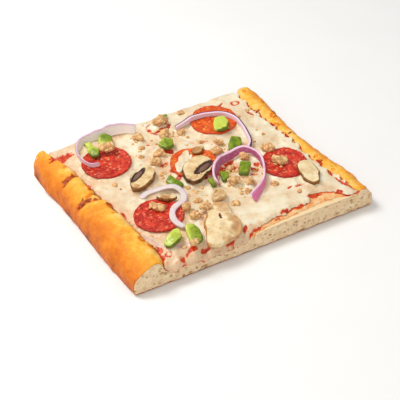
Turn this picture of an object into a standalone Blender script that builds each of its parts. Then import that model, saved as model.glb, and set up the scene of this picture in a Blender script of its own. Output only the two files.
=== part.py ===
"""A squared-off piece of deep pan pizza, cut straight at the front and the back.

The left and right sides keep their baked rims, and the two cuts show the crumb.
X runs along the front cut, Y runs to the back and Z runs up, with the origin
under the middle of the piece. Sizes are in millimetres up to the point where a
mesh is made, which turns them into metres.
"""

import math
import random

import bmesh
import bpy
import numpy as np
from mathutils import Matrix, Vector
from mathutils.bvhtree import BVHTree

for leftover in list(bpy.data.objects):
    bpy.data.objects.remove(leftover)

MM = 0.001

# The piece as a whole
FRONT_CUT = -94.0
BACK_CUT = 94.0
DOUGH_TOP = 16.5
LAYER_GAP = 0.3
SAUCE_THICK = 1.0
CHEESE_THICK = 2.6
REST_GAP = 0.4
THIN_SAUCE = 0.4
THIN_CHEESE = 0.6
CHEESE_SWELL = 0.5

# Rows of the baked rims: y, outer edge x, inner edge x, height of the crown.
# Two creases cross the left rim, at y 41 and y 9, and leave three lobes.
LEFT_RIM = [
    (-94, -115.5, -87, 23.5), (-82, -117, -84, 24.5), (-68, -117.3, -84, 25.5),
    (-52, -117.5, -86.5, 26), (-34, -117.5, -86, 26), (-14, -117.3, -87.5, 25.5),
    (2, -116.6, -89.5, 24.5), (9, -115.8, -90.5, 22.5), (18, -116.2, -92.5, 25),
    (32, -116.6, -93.5, 25), (41, -116, -92.5, 22.5), (50, -117, -93, 25),
    (64, -117.5, -95, 25.5), (80, -117.5, -98.5, 25), (94, -116.5, -102.5, 22.8),
]
RIGHT_RIM = [
    (-94, 116.5, 99.5, 19.5), (-84, 117.5, 99, 20), (-66, 117.3, 97.5, 20.5),
    (-52, 116.2, 95.5, 20.5), (-32, 113.5, 94.5, 20.5), (-12, 112, 96, 20),
    (6, 111.6, 95.5, 20), (26, 112.5, 95, 20.5), (44, 115.5, 94, 21.5),
    (56, 115, 93.5, 21.5), (70, 117, 93.5, 22.5), (84, 117.5, 94.5, 23),
    (94, 115, 96, 23.5),
]

# A rim in section, from its inner foot out and down: the share of the rim's
# width and the share of its crown's height.
LEFT_SECTION = [(0.15, 0.94), (0.28, 1.0), (0.47, 0.97), (0.68, 0.88),
                (0.86, 0.72), (0.97, 0.48), (1.0, 0.22), (0.97, 0.0)]
RIGHT_SECTION = [(0.16, 0.95), (0.34, 1.0), (0.58, 0.95), (0.8, 0.8),
                 (0.95, 0.55), (1.0, 0.25), (0.95, 0.0)]
FOOT_REACH = 1.6
FOOT_RISE = 2.4

# Grid of the dough's top, shared by the layers on it. Its rows are closer together
# at the front cut, and two of them meet the creases of the left rim.
ROWS = [FRONT_CUT, -91.5, -88.5, -85, -80] + [-72 + 8 * k for k in range(21)] + [BACK_CUT]
COLUMNS = 14

# Where the topping was dragged down at the front cut: x and depth.
FRONT_DROOP = [(-90, 0), (-84, 5), (-75, 1.5), (-66, 3.5), (-50, 5.5), (-36, 6),
               (-16, 4.5), (-6, 2.2), (8, 0.8), (28, 0)]
DROOP_REACH = 11.0
DOUGH_SWELL = 0.35

# Front edges of the two layers, from left to right: x and y.
CHEESE_EDGE = [(-120, -97), (-82, -96), (-12, -96), (-8, -91), (2, -88), (12, -87.5),
               (20, -84.5), (31, -86.5), (40, -81.5), (48, -84), (57, -83), (65, -75),
               (75, -76.5), (85, -82.5), (92, -91), (99, -92), (104, -97), (120, -97)]
SAUCE_EDGE = [(-120, -97), (-6, -97), (0, -92), (22, -90.5), (45, -89), (66, -87.5),
              (82, -88.5), (94, -92.5), (99, -97), (120, -97)]

# The toppings. Places are x and y of a piece's middle.
PEPPERONI_THICK = 2.0
PEPPERONI_BEND = 2
PEPPERONI_SIDES = 22
OUT_OF_ROUND = 0.04

# Slices of pepperoni: place, width and the way that each is longest.
PEPPERONI = [((-65.2, 50.0), 47.5, 59), ((-62.8, -39.3), 45.5, 50), ((0, 10.0), 45.5, 68),
             ((50.6, 59.7), 47.0, 55), ((67.8, -30.2), 45.0, 63)]

# Mushroom slices: name, place, thickness, bending reach and outline.
MUSHROOM_SIDES = 18
MUSHROOMS = [
    ("mushroom_oval", (-50, 11), 4.5, 3,
     [(12.7, 15.3), (15, 7), (10.4, -2.2), (1.7, -8.7), (-8, -12.4), (-15, -13),
      (-15.7, -6), (-12, -0.4), (2.2, 10.6)]),
    ("mushroom_round", (-4, -3), 4.0, 4,
     [(12.8, 14.4), (17, 7.4), (16.5, 1), (11.8, -6), (2, -11), (-9.2, -16.4),
      (-15.4, -16.4), (-17.7, -9.8), (-16.4, -3), (-12.4, 5.3), (-2.4, 13.2), (6.8, 16.4)]),
    ("mushroom_right", (77, -54), 3.5, 3,
     [(-1.3, 14.5), (4.1, 15.3), (9.3, 12.2), (9.6, 4), (4.6, -8.9), (-4, -19.2),
      (-7.5, -13.3), (-8.5, -1), (-7.2, 6)]),
    ("mushroom_front", (-26, -79), 4.0, 2,
     [(16.8, 30), (20.8, 23), (18.7, 16.3), (14, 10.5), (16.6, 3.2), (13.6, -9),
      (8, -15), (-1, -16), (-10, -16.4), (-19, -16.6), (-23.5, -13), (-18.5, -5), (-14.5, 0),
      (-6, 15.8), (-0.7, 23.5), (10, 31)]),
    ("mushroom_sliver", (-46, -24), 3.0, 3,
     [(-10, 4), (-4, 5.5), (4, 4), (8, -1), (7, -5), (0, -4.5), (-6, 0)]),
    ("mushroom_stalk", (-7, -42), 5.0, 3,
     [(-7, -8), (-8, 1), (-4, 7.5), (3, 9), (7, 4), (6, -4), (1, -9)]),
    ("mushroom_edge", (11, 22.5), 2.6, 2,
     [(-7, -3), (-4, 2), (3, 4), (8, 2.5), (4, -2)]),
]

# Pieces of green pepper: name, place, thickness, hollow, tilt, tilt direction, outline.
PEPPER_EDGE = 0.5
PEPPERS = [
    ("pepper_back_a", (-51.5, 78.5), 3.6, 2.2, 14, 250,
     [(-7.5, 0), (-3.5, 6.5), (3, 7), (7.5, 2), (5.5, -5), (-3, -6)]),
    ("pepper_back_b", (-69, 65.5), 3.4, 1.5, 12, 200,
     [(-4, 7), (3.5, 6), (5, -2), (1, -8), (-5, -5)]),
    ("pepper_back_c", (-67, 80.5), 2.6, 0.6, 8, 270,
     [(-3.5, 4), (3.4, 5), (3, -4), (-2.6, -5)]),
    ("pepper_back_d", (14, 88), 2.6, 0.8, 10, 270,
     [(-4, -1.5), (-1, 3), (4.5, 1.5), (2, -3)]),
    ("pepper_middle_a", (-6.5, 47), 4.0, 1.8, 14, 260,
     [(-8, 2.9), (0.8, 7.2), (7.8, 2.9), (4.2, -6.2), (-4, -6.8)]),
    ("pepper_middle_b", (49.5, 45.5), 4.0, 1.5, 12, 250,
     [(-1.7, 8.5), (7.6, 8), (7.7, -1.1), (2.3, -9), (-4.1, -7.8), (-9.6, -4), (-6.4, 3.4)]),
    ("pepper_middle_c", (45, 14.5), 3.8, 1.2, 14, 260,
     [(1.8, 9.6), (9.4, 4.6), (5.4, -3.1), (-1.9, -8.5), (-9.6, -5.5), (-5.9, 2.1)]),
    ("pepper_middle_d", (32.5, -21), 3.8, 1.0, 12, 260,
     [(0.7, 8.7), (9.2, 3.5), (-1.3, -8.7), (-9, -3.9)]),
    ("pepper_middle_e", (12, -21.5), 3.5, 1.2, 12, 250,
     [(-2, 6.5), (6, 3), (2, -3.8), (-4, -6), (-5, -3)]),
    ("pepper_middle_f", (-4.5, -28.5), 3.0, 0.6, 10, 260,
     [(-2.2, 5.4), (2.6, 5), (1.5, -5.5), (-3, -4.2)]),
    ("pepper_middle_g", (-30, -7.5), 3.8, 1.6, 14, 240,
     [(-5.7, 4.9), (0.5, 9.5), (2.5, 3.5), (6.6, -6.1), (1.5, -8.9), (-4.6, -2.8)]),
    ("pepper_front_a", (-68.5, -74), 4.4, 2.0, 14, 240,
     [(-10.5, -1.4), (-4.3, 3.8), (3.6, 7.4), (8.4, 6), (7, -0.6), (4, -4.6),
      (-4.9, -7.3), (-9.1, -5.8)]),
    ("pepper_front_b", (-52.5, -78), 4.4, 2.6, 15, 250,
     [(-2.5, 11), (4.6, 10), (7, 2.8), (5.1, -6), (2, -9.6), (-5.6, -9.4),
      (-6.4, -4.6), (-4.8, 4.6)]),
]

# Crumbs of sausage: name, place, length, width, height, turn.
SAUSAGE = [
    ("sausage_a", (-57, 62.5), 15, 13, 6, 20), ("sausage_b", (5, 80.5), 17, 14, 6, 10),
    ("sausage_c", (-23.5, 70), 12, 11, 5, -30), ("sausage_d", (0.5, 62.5), 10, 9, 4.5, 40),
    ("sausage_e", (16.5, 59.5), 10, 7, 4, 15), ("sausage_f", (-19, 37), 12, 10, 5, -10),
    ("sausage_g", (-28, 28.5), 11, 9, 5, 35), ("sausage_h", (34.5, 27), 9.5, 9, 5, 0),
    ("sausage_i", (25.5, 13), 13, 9, 5, 25), ("sausage_j", (66.5, -5), 11, 13, 6, 60),
    ("sausage_k", (64.5, -28), 18, 12, 6, -15), ("sausage_l", (42.5, -6), 12, 10, 5, 20),
    ("sausage_m", (14.5, -32.5), 14, 9, 5.5, -20), ("sausage_n", (27.5, -37.5), 12, 8, 4.5, 30),
    ("sausage_o", (-60, -31), 16, 9, 5, -31), ("sausage_p", (-39, -44.5), 11, 9, 6, 50),
    ("sausage_q", (-38, -56), 11, 9, 5.5, -25), ("sausage_r", (-26.5, -52.5), 9, 10, 5, 70),
    ("sausage_s", (-59, -89.5), 9, 7, 4, 0),
]

# Small crumbs that are baked into the cheese: place and width. Their other sizes
# are shares of the width.
CRUMB_SUNK = 1.2
CRUMB_SHORTER = 0.8
CRUMB_LOWER = 0.6
CRUMB_TURN = 47
CRUMB_SEED = 40
BAKED_IN = [
    (-26.6, 56.5, 6), (24.7, 39.2, 6), (31.4, 88, 6), (-34.3, 43, 6), (24, -10, 7),
    (20, -47, 6), (-28.5, 14.5, 6), (-21.8, -17.4, 6), (-24, -36.5, 7), (2, -54.6, 8),
    (45.6, -48.3, 8), (57, -69, 6), (30, 71, 6), (88, 60, 5), (-72, 20, 5), (80, 20, 5),
]

# Strips of red onion: name, wall, lean, heights along it and route.
ONION_SPACING = 4.5
ONION_CORNERS = 4
ONIONS = [
    ("onion_back_left", 2.0, 0.2, (4, 4.5, 7, 10, 9),
     [(-73, 46.5), (-80.5, 50), (-83.5, 60), (-82.5, 71), (-78, 81), (-71, 87), (-63, 89),
      (-52, 89), (-40, 88.5), (-29, 85.5), (-20, 79)]),
    ("onion_back_right", 2.2, 0.15, (4.5, 4.5, 4, 3.5),
     [(13, 65), (24, 67), (36, 68), (47, 67), (56, 63), (63, 57), (67, 48), (67, 36),
      (64.5, 24), (60, 12), (52, 3)]),
    ("onion_middle", 2.0, 0.15, (5, 6.5, 5, 5, 6.5),
     [(1.5, -29), (2.5, -22), (5.5, -16), (11.5, -9.5), (19, -3.5), (28, 0.5), (39, 1.5),
      (47, -2), (52, -10), (50.5, -21), (44, -35), (37, -45), (26, -54), (15, -61)]),
    ("onion_front", 5.0, 0.0, (2.4, 2.6, 2.4),
     [(-64, -10), (-56, -6.5), (-47, -7), (-39, -11), (-32.5, -18), (-31.5, -26), (-37, -34),
      (-46, -38), (-52, -43), (-56, -51), (-56, -59), (-53, -65)]),
]


def material(name, colour, roughness=0.6):
    """A plain finish in linear RGB."""
    made = bpy.data.materials.new(name)
    made.use_nodes = True
    shader = made.node_tree.nodes["Principled BSDF"]
    shader.inputs["Base Color"].default_value = (*colour, 1)
    shader.inputs["Roughness"].default_value = roughness
    shader.inputs["Metallic"].default_value = 0
    return made


def rim_at(rows, y):
    """Outer x, inner x and crown height of a rim at y."""
    stations = [row[0] for row in rows]
    return [float(np.interp(y, stations, [row[k] for row in rows])) for k in (1, 2, 3)]


def dough_top(x, y):
    """Height of the bare dough between the rims."""
    swell = DOUGH_SWELL * math.sin(0.055 * x + 1.0) * math.cos(0.047 * y)
    droop = float(np.interp(x, *zip(*FRONT_DROOP)))
    near = min(max((FRONT_CUT + DROOP_REACH - y) / DROOP_REACH, 0), 1)
    return DOUGH_TOP + swell - droop * near * near * (3 - 2 * near)


def grid_columns(y):
    """Places along x of the shared grid, the first and last on the rims' slopes."""
    left = rim_at(LEFT_RIM, y)[1]
    right = rim_at(RIGHT_RIM, y)[1]
    between = [left + (right - left) * k / (COLUMNS - 1) for k in range(COLUMNS)]
    return [left - FOOT_REACH] + between + [right + FOOT_REACH]


def base_line(y):
    """Section of the dough's top on the shared grid: a list of (x, z)."""
    columns = grid_columns(y)
    inner = [(x, dough_top(x, y)) for x in columns[1:-1]]
    first = (columns[0], inner[0][1] + FOOT_RISE)
    last = (columns[-1], inner[-1][1] + FOOT_RISE)
    return [first] + inner + [last]


def rim_line(rows, section, y):
    """Section of a rim from its inner foot to the base: a list of (x, z)."""
    outer, inner, crown = rim_at(rows, y)
    return [(inner + (outer - inner) * across, crown * up) for across, up in section]


def crust_section(y):
    left = rim_line(LEFT_RIM, LEFT_SECTION, y)
    return left[::-1] + base_line(y) + rim_line(RIGHT_RIM, RIGHT_SECTION, y)


def on_rim(column):
    """Whether a column of the shared grid lies on a rim's slope."""
    return column in (0, COLUMNS + 1)


def sauce_section(y):
    """Section of the sauce, which thins out to the rims."""
    under = [(x, z + LAYER_GAP) for x, z in base_line(y)]
    over = [(x, z + (THIN_SAUCE if on_rim(k) else SAUCE_THICK)) for k, (x, z) in enumerate(under)]
    return under + over[::-1]


def cheese_section(y):
    """Section of the cheese, which lies on the sauce in low waves."""
    under = []
    over = []
    for k, (x, z) in enumerate(base_line(y)):
        low = z + 2 * LAYER_GAP + (THIN_SAUCE if on_rim(k) else SAUCE_THICK)
        wave = CHEESE_SWELL * math.sin(0.13 * x + 0.6) * math.sin(0.11 * y + 0.4)
        under.append((x, low))
        over.append((x, low + (THIN_CHEESE if on_rim(k) else CHEESE_THICK + wave)))
    return under + over[::-1]


def face_out(made):
    """Makes all faces of a closed shape point outwards."""
    bmesh.ops.recalc_face_normals(made, faces=made.faces)
    if made.calc_volume(signed=True) < 0:
        bmesh.ops.reverse_faces(made, faces=made.faces)


def loft(section):
    """A closed solid through the sections at all rows.

    Every quad is split along the same diagonal in plan, so that stacked layers
    keep their gap between the rows too.
    """
    made = bmesh.new()
    rings = [[made.verts.new((x, y, z)) for x, z in section(y)] for y in ROWS]
    count = len(rings[0])
    for here, there in zip(rings, rings[1:]):
        for k in range(count):
            a, b = here[k], here[(k + 1) % count]
            c, d = there[(k + 1) % count], there[k]
            split = [(a, b, c), (a, c, d)] if b.co.x >= a.co.x else [(a, b, d), (b, c, d)]
            for corners in split:
                made.faces.new(corners)
    ends = [made.faces.new(rings[0][::-1]), made.faces.new(rings[-1])]
    bmesh.ops.triangulate(made, faces=ends, ngon_method="EAR_CLIP")
    face_out(made)
    return made


def flat_outline(points, thickness, edge=0.0):
    """A plate with the given outline, its underside at height 0."""
    curve = bpy.data.curves.new("outline", "CURVE")
    curve.dimensions = "2D"
    curve.fill_mode = "BOTH"
    curve.extrude = thickness / 2 - edge
    curve.bevel_depth = edge
    curve.bevel_resolution = 0
    curve.offset = -edge
    spline = curve.splines.new("POLY")
    spline.points.add(len(points) - 1)
    for point, (x, y) in zip(spline.points, points):
        point.co = (x, y, 0, 1)
    spline.use_cyclic_u = True
    holder = bpy.data.objects.new("outline", curve)
    bpy.context.scene.collection.objects.link(holder)
    graph = bpy.context.evaluated_depsgraph_get()
    mesh = bpy.data.meshes.new_from_object(holder.evaluated_get(graph))
    made = bmesh.new()
    made.from_mesh(mesh)
    bpy.data.objects.remove(holder)
    bpy.data.curves.remove(curve)
    bpy.data.meshes.remove(mesh)
    bmesh.ops.remove_doubles(made, verts=made.verts, dist=0.001)
    face_out(made)
    bmesh.ops.translate(made, vec=(0, 0, thickness / 2), verts=made.verts)
    return made


def pebble(reach, thickness, sides):
    """A slice with a rounded edge, its underside at height 0.

    reach gives the outline's distance from the middle at an angle in degrees. The
    two powers flatten a ball into a slice that stays thick nearly to its edge.
    """
    push_out = 1.25
    flatten = 0.4
    made = bmesh.new()
    bmesh.ops.create_uvsphere(made, u_segments=sides, v_segments=6, radius=1)
    for vert in made.verts:
        out = math.hypot(vert.co.x, vert.co.y)
        angle = math.degrees(math.atan2(vert.co.y, vert.co.x)) % 360
        spread = reach(angle) * min(out, 1) ** push_out / max(out, 1e-6)
        rise = math.copysign(abs(vert.co.z) ** flatten, vert.co.z)
        vert.co = (vert.co.x * spread, vert.co.y * spread, thickness / 2 * (1 + rise))
    return made


def pepperoni_reach(width, longest):
    """The reach of a slightly oval slice that is longest along one angle."""
    return lambda angle: width / 2 * (
        1 + OUT_OF_ROUND * math.cos(2 * math.radians(angle - longest)))


def outline_reach(points):
    """The reach of an outline given by points around its middle."""
    polar = sorted((math.degrees(math.atan2(y, x)) % 360, math.hypot(x, y)) for x, y in points)
    angles = [angle for angle, _ in polar]
    lengths = [length for _, length in polar]
    return lambda angle: float(np.interp(angle, angles, lengths, period=360))


def lump(length, width, height, degrees, seed):
    """A rough crumb of meat with a flat foot, pushed in and out at random."""
    foot = 0.45
    dents = (0.82, 1.1)
    made = bmesh.new()
    bmesh.ops.create_icosphere(made, subdivisions=2, radius=1)
    draw = random.Random(seed)
    for vert in made.verts:
        vert.co *= draw.uniform(*dents)
        vert.co.z = max(vert.co.z, -foot)
        vert.co = (vert.co.x * length / 2, vert.co.y * width / 2,
                   (vert.co.z + foot) * height / (1 + foot))
    turn = Matrix.Rotation(math.radians(degrees), 4, "Z")
    bmesh.ops.transform(made, matrix=turn, verts=made.verts)
    return made


def chip(outline, thickness, hollow, tilt, towards):
    """A piece of green pepper, curved over its length and tipped down on one side."""
    made = flat_outline(outline, thickness, PEPPER_EDGE)
    reach = max(abs(vert.co.x) for vert in made.verts)
    for vert in made.verts:
        vert.co.z += hollow * (1 - (vert.co.x / reach) ** 2)
    side = math.radians(towards)
    lean = Matrix.Rotation(math.radians(tilt), 4, Vector((-math.sin(side), math.cos(side), 0)))
    bmesh.ops.transform(made, matrix=lean, verts=made.verts)
    return made


def eased(values):
    """A smooth run of values that nowhere falls below the given ones."""
    count = len(values)
    highest = [max(values[max(k - 1, 0):k + 2]) for k in range(count)]
    return [float(np.mean(highest[max(k - 1, 0):k + 2])) for k in range(count)]


class Ground:
    """Height of all that is laid so far, on a 1 mm grid, for the next piece to rest on."""

    HALF = (125, 110)
    OFF_EDGES = (0.013, 0.017)  # keeps the rays off the edges between faces
    FAR = 100.0

    def __init__(self):
        self.height = np.zeros((2 * self.HALF[0] + 1, 2 * self.HALF[1] + 1))

    def hits(self, made, downwards):
        """Where upright rays meet a shape, from above or from below: (x, y, height)."""
        tree = BVHTree.FromBMesh(made)
        xs = [vert.co.x for vert in made.verts]
        ys = [vert.co.y for vert in made.verts]
        start = self.FAR if downwards else -self.FAR
        ray = Vector((0, 0, -1 if downwards else 1))
        for x in range(math.floor(min(xs)), math.ceil(max(xs)) + 1):
            for y in range(math.floor(min(ys)), math.ceil(max(ys)) + 1):
                origin = Vector((x + self.OFF_EDGES[0], y + self.OFF_EDGES[1], start))
                hit = tree.ray_cast(origin, ray)[0]
                if hit is not None:
                    yield x, y, hit.z

    def add(self, made):
        """Counts a shape as laid."""
        for x, y, z in self.hits(made, True):
            cell = (x + self.HALF[0], y + self.HALF[1])
            self.height[cell] = max(self.height[cell], z)

    def highest(self, reach, blend=0):
        """The grid with each cell at the highest within reach, then blurred over blend."""
        shifts = range(-reach, reach + 1)
        moved = [np.roll(self.height, (i, j), (0, 1)) for i in shifts for j in shifts]
        grid = np.max(moved, axis=0)
        shifts = range(-blend, blend + 1)
        return np.mean([np.roll(grid, (i, j), (0, 1)) for i in shifts for j in shifts], axis=0)

    def read(self, grid, x, y):
        """The grid's height at a place, blended between its cells."""
        i, j = x + self.HALF[0], y + self.HALF[1]
        a, b = int(i), int(j)
        s, t = i - a, j - b
        return float((1 - s) * ((1 - t) * grid[a, b] + t * grid[a, b + 1])
                     + s * ((1 - t) * grid[a + 1, b] + t * grid[a + 1, b + 1]))

    def drape(self, made, bend):
        """Lays a soft slice over everything, gently bent to what it crosses."""
        grid = self.highest(bend + 1, bend)
        for vert in made.verts:
            vert.co.z += self.read(grid, vert.co.x, vert.co.y) + REST_GAP
        self.add(made)

    def lay_strip(self, made):
        """Lays a stiff strip of onion in long easy humps."""
        grid = self.highest(1)
        rings = [made.verts[k:k + ONION_CORNERS]
                 for k in range(0, len(made.verts), ONION_CORNERS)]
        needed = [max(self.read(grid, vert.co.x, vert.co.y) for vert in ring) for ring in rings]
        for ring, lift in zip(rings, eased(needed)):
            for vert in ring:
                vert.co.z += lift + REST_GAP
        self.add(made)

    def drop(self, made):
        """Sets a firm piece down until it touches."""
        grid = self.highest(1)
        lift = max(self.read(grid, x, y) + REST_GAP - z for x, y, z in self.hits(made, False))
        bmesh.ops.translate(made, vec=(0, 0, lift), verts=made.verts)
        self.add(made)


def new_collection(name):
    made = bpy.data.collections.new(name)
    bpy.context.scene.collection.children.link(made)
    return made


def add_object(name, made, finish, collection, place=(0, 0)):
    """Turns a shape in millimetres into a named object in metres with its origin at place."""
    bmesh.ops.translate(made, vec=(-place[0], -place[1], 0), verts=made.verts)
    bmesh.ops.scale(made, vec=(MM, MM, MM), verts=made.verts)
    mesh = bpy.data.meshes.new(name)
    made.to_mesh(mesh)
    made.free()
    mesh.materials.append(finish)
    mesh.shade_smooth()
    mesh.set_sharp_from_angle(angle=math.radians(40))
    piece = bpy.data.objects.new(name, mesh)
    piece.location = (place[0] * MM, place[1] * MM, 0)
    collection.objects.link(piece)
    return piece


def apply_boolean(piece, operation, operand):
    """Cuts a piece by an object, or joins it with a collection's objects, for good."""
    step = piece.modifiers.new(operation, "BOOLEAN")
    step.operation = operation
    step.solver = "MANIFOLD"
    if isinstance(operand, bpy.types.Collection):
        step.operand_type = "COLLECTION"
        step.collection = operand
    else:
        step.object = operand
    graph = bpy.context.evaluated_depsgraph_get()
    mesh = bpy.data.meshes.new_from_object(piece.evaluated_get(graph))
    piece.modifiers.remove(step)
    old = piece.data
    piece.data = mesh
    bpy.data.meshes.remove(old)


def shape_of(piece):
    """A piece's mesh as a shape in millimetres."""
    made = bmesh.new()
    made.from_mesh(piece.data)
    bmesh.ops.scale(made, vec=(1 / MM, 1 / MM, 1 / MM), verts=made.verts)
    return made


def trim_front(layer, edge):
    """Takes away all of a layer in front of its edge."""
    corner = 120
    tall = 60
    made = flat_outline(edge + [(corner, -corner), (-corner, -corner)], tall)
    cutter = add_object(layer.name + "_cutter", made, layer.active_material, cutters)
    cutter.hide_render = True
    cutter.display_type = "WIRE"
    apply_boolean(layer, "DIFFERENCE", cutter)


def smooth_route(points, spacing):
    """Evenly spaced points along a smooth curve through the route's points."""
    route = np.array([points[0]] + points + [points[-1]], dtype=float)
    dense = []
    for p, q, r, s in zip(route, route[1:], route[2:], route[3:]):
        for t in np.arange(0, 1, 0.1):
            dense.append(0.5 * (2 * q + (r - p) * t + (2 * p - 5 * q + 4 * r - s) * t * t
                                + (3 * q - p - 3 * r + s) * t ** 3))
    dense = np.array(dense + [route[-1]])
    along = np.concatenate([[0], np.cumsum(np.hypot(*np.diff(dense, axis=0).T))])
    places = np.linspace(0, along[-1], int(along[-1] / spacing) + 2)
    return np.array([np.interp(places, along, dense[:, k]) for k in (0, 1)]).T


def strip(route, wall, lean, heights):
    """A strip of onion on its edge, leaning out to the left of its route."""
    points = smooth_route(route, ONION_SPACING)
    ahead = np.gradient(points, axis=0)
    ahead /= np.hypot(*ahead.T)[:, None]
    outward = np.stack([-ahead[:, 1], ahead[:, 0]], axis=1)
    shares = np.linspace(0, 1, len(points))
    tall = np.interp(shares, np.linspace(0, 1, len(heights)), heights)
    made = bmesh.new()
    rings = []
    for point, out, height in zip(points, outward, tall):
        corners = [(-wall / 2, 0), (wall / 2, 0), (wall / 2 + lean * height, height),
                   (-wall / 2 + lean * height, height)]
        rings.append([made.verts.new((*(point + out * across), up)) for across, up in corners])
    for here, there in zip(rings, rings[1:]):
        for k in range(ONION_CORNERS):
            after = (k + 1) % ONION_CORNERS
            made.faces.new((here[k], here[after], there[after], there[k]))
    made.faces.new(rings[0][::-1])
    made.faces.new(rings[-1])
    bmesh.ops.triangulate(made, faces=made.faces)
    face_out(made)
    return made


def make_layers():
    """The dough, the sauce on it and the cheese on top. It gives back the ground they make."""
    crust = add_object("crust", loft(crust_section), FINISHES["dough"], pizza)
    sauce = add_object("sauce", loft(sauce_section), FINISHES["sauce"], pizza)
    cheese = add_object("cheese", loft(cheese_section), FINISHES["cheese"], pizza)
    trim_front(sauce, SAUCE_EDGE)
    trim_front(cheese, CHEESE_EDGE)
    ground = Ground()
    ground.add(shape_of(crust))
    ground.add(shape_of(cheese))
    bake_in_crumbs(cheese, ground)
    ground.add(shape_of(cheese))
    return ground


def bake_in_crumbs(cheese, ground):
    """Joins the small crumbs to the cheese that they are half sunk in."""
    crumbs = new_collection("baked_in_crumbs")
    for number, (x, y, width) in enumerate(BAKED_IN):
        crumb = lump(width, width * CRUMB_SHORTER, width * CRUMB_LOWER,
                     CRUMB_TURN * number, CRUMB_SEED + number)
        level = ground.read(ground.height, x, y) - CRUMB_SUNK
        bmesh.ops.translate(crumb, vec=(x, y, level), verts=crumb.verts)
        add_object("crumb_%d" % number, crumb, FINISHES["sausage"], crumbs, (x, y))
    apply_boolean(cheese, "UNION", crumbs)
    for crumb in list(crumbs.objects):
        bpy.data.objects.remove(crumb)
    bpy.data.collections.remove(crumbs)


def put(name, made, finish, place, lay):
    """Moves a topping to its place, lays it on what is there and adds it."""
    bmesh.ops.translate(made, vec=(*place, 0), verts=made.verts)
    lay(made)
    add_object(name, made, FINISHES[finish], pizza, place)


pizza = new_collection("pan_pizza")
cutters = new_collection("cutters")
FINISHES = {
    "dough": material("baked_dough", (0.75, 0.4, 0.09), 0.55),
    "sauce": material("tomato_sauce", (0.5, 0.03, 0.01), 0.35),
    "cheese": material("melted_cheese", (0.85, 0.75, 0.52), 0.45),
    "pepperoni": material("pepperoni", (0.6, 0.05, 0.02), 0.45),
    "mushroom": material("mushroom", (0.62, 0.42, 0.2), 0.5),
    "pepper": material("green_pepper", (0.22, 0.42, 0.03), 0.3),
    "sausage": material("sausage", (0.55, 0.3, 0.12), 0.6),
    "onion": material("red_onion", (0.75, 0.55, 0.6), 0.3),
}

ground = make_layers()
for number, (place, width, longest) in enumerate(PEPPERONI, 1):
    disc = pebble(pepperoni_reach(width, longest), PEPPERONI_THICK, PEPPERONI_SIDES)
    put("pepperoni_%d" % number, disc, "pepperoni", place,
        lambda made: ground.drape(made, PEPPERONI_BEND))
for name, place, thickness, bend, outline in MUSHROOMS:
    slice_made = pebble(outline_reach(outline), thickness, MUSHROOM_SIDES)
    put(name, slice_made, "mushroom", place, lambda made: ground.drape(made, bend))
for name, place, thickness, hollow, tilt, towards, outline in PEPPERS:
    put(name, chip(outline, thickness, hollow, tilt, towards), "pepper", place, ground.drop)
for seed, (name, place, length, width, height, turn) in enumerate(SAUSAGE):
    put(name, lump(length, width, height, turn, seed), "sausage", place, ground.drop)
for name, wall, lean, heights, route in ONIONS:
    put(name, strip(route, wall, lean, heights), "onion", (0, 0), ground.lay_strip)
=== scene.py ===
"""Looks of a squared-off piece of deep pan pizza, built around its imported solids.

Shapes are worked out in millimetres, in the frame of the solids: X along the front
cut, Y to the back cut, Z up. They become metres when a piece is made.
"""

import math
import random

import bmesh
import bpy
import numpy as np
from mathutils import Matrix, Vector, noise
from mathutils.bvhtree import BVHTree


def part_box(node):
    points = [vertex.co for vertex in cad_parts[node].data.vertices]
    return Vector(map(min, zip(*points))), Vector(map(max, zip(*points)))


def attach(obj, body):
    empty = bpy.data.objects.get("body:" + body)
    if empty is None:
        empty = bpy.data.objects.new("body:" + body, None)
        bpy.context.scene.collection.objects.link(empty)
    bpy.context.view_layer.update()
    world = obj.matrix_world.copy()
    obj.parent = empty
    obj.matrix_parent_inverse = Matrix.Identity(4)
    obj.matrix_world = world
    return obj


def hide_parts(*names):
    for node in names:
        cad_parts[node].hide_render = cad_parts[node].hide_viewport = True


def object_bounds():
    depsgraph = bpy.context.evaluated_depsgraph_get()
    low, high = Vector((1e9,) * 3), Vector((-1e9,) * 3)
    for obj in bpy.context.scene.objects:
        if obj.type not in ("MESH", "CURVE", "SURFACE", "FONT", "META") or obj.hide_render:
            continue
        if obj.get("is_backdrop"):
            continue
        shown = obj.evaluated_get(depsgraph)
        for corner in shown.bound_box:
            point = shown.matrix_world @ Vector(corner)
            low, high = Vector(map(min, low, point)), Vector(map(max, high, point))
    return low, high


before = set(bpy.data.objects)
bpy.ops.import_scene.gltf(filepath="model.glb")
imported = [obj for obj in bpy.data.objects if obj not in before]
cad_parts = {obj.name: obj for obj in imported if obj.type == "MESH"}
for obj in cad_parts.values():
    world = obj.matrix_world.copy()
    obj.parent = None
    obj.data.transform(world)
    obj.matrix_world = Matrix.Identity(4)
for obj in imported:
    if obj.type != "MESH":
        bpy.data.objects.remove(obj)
cad_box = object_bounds()

# Blender seeds part of its noise by the clock, so it gets a seed of its own here.
noise.seed_set(1)

MM = 0.001
FRONT_CUT = -94.0
BACK_CUT = 94.0

# Layers of the solids
DOUGH_TOP = 16.5
LAYER_GAP = 0.3
SAUCE_THICK = 1.0
CHEESE_THICK = 2.6
FOOT_REACH = 1.6
FOOT_RISE = 2.4

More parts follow.
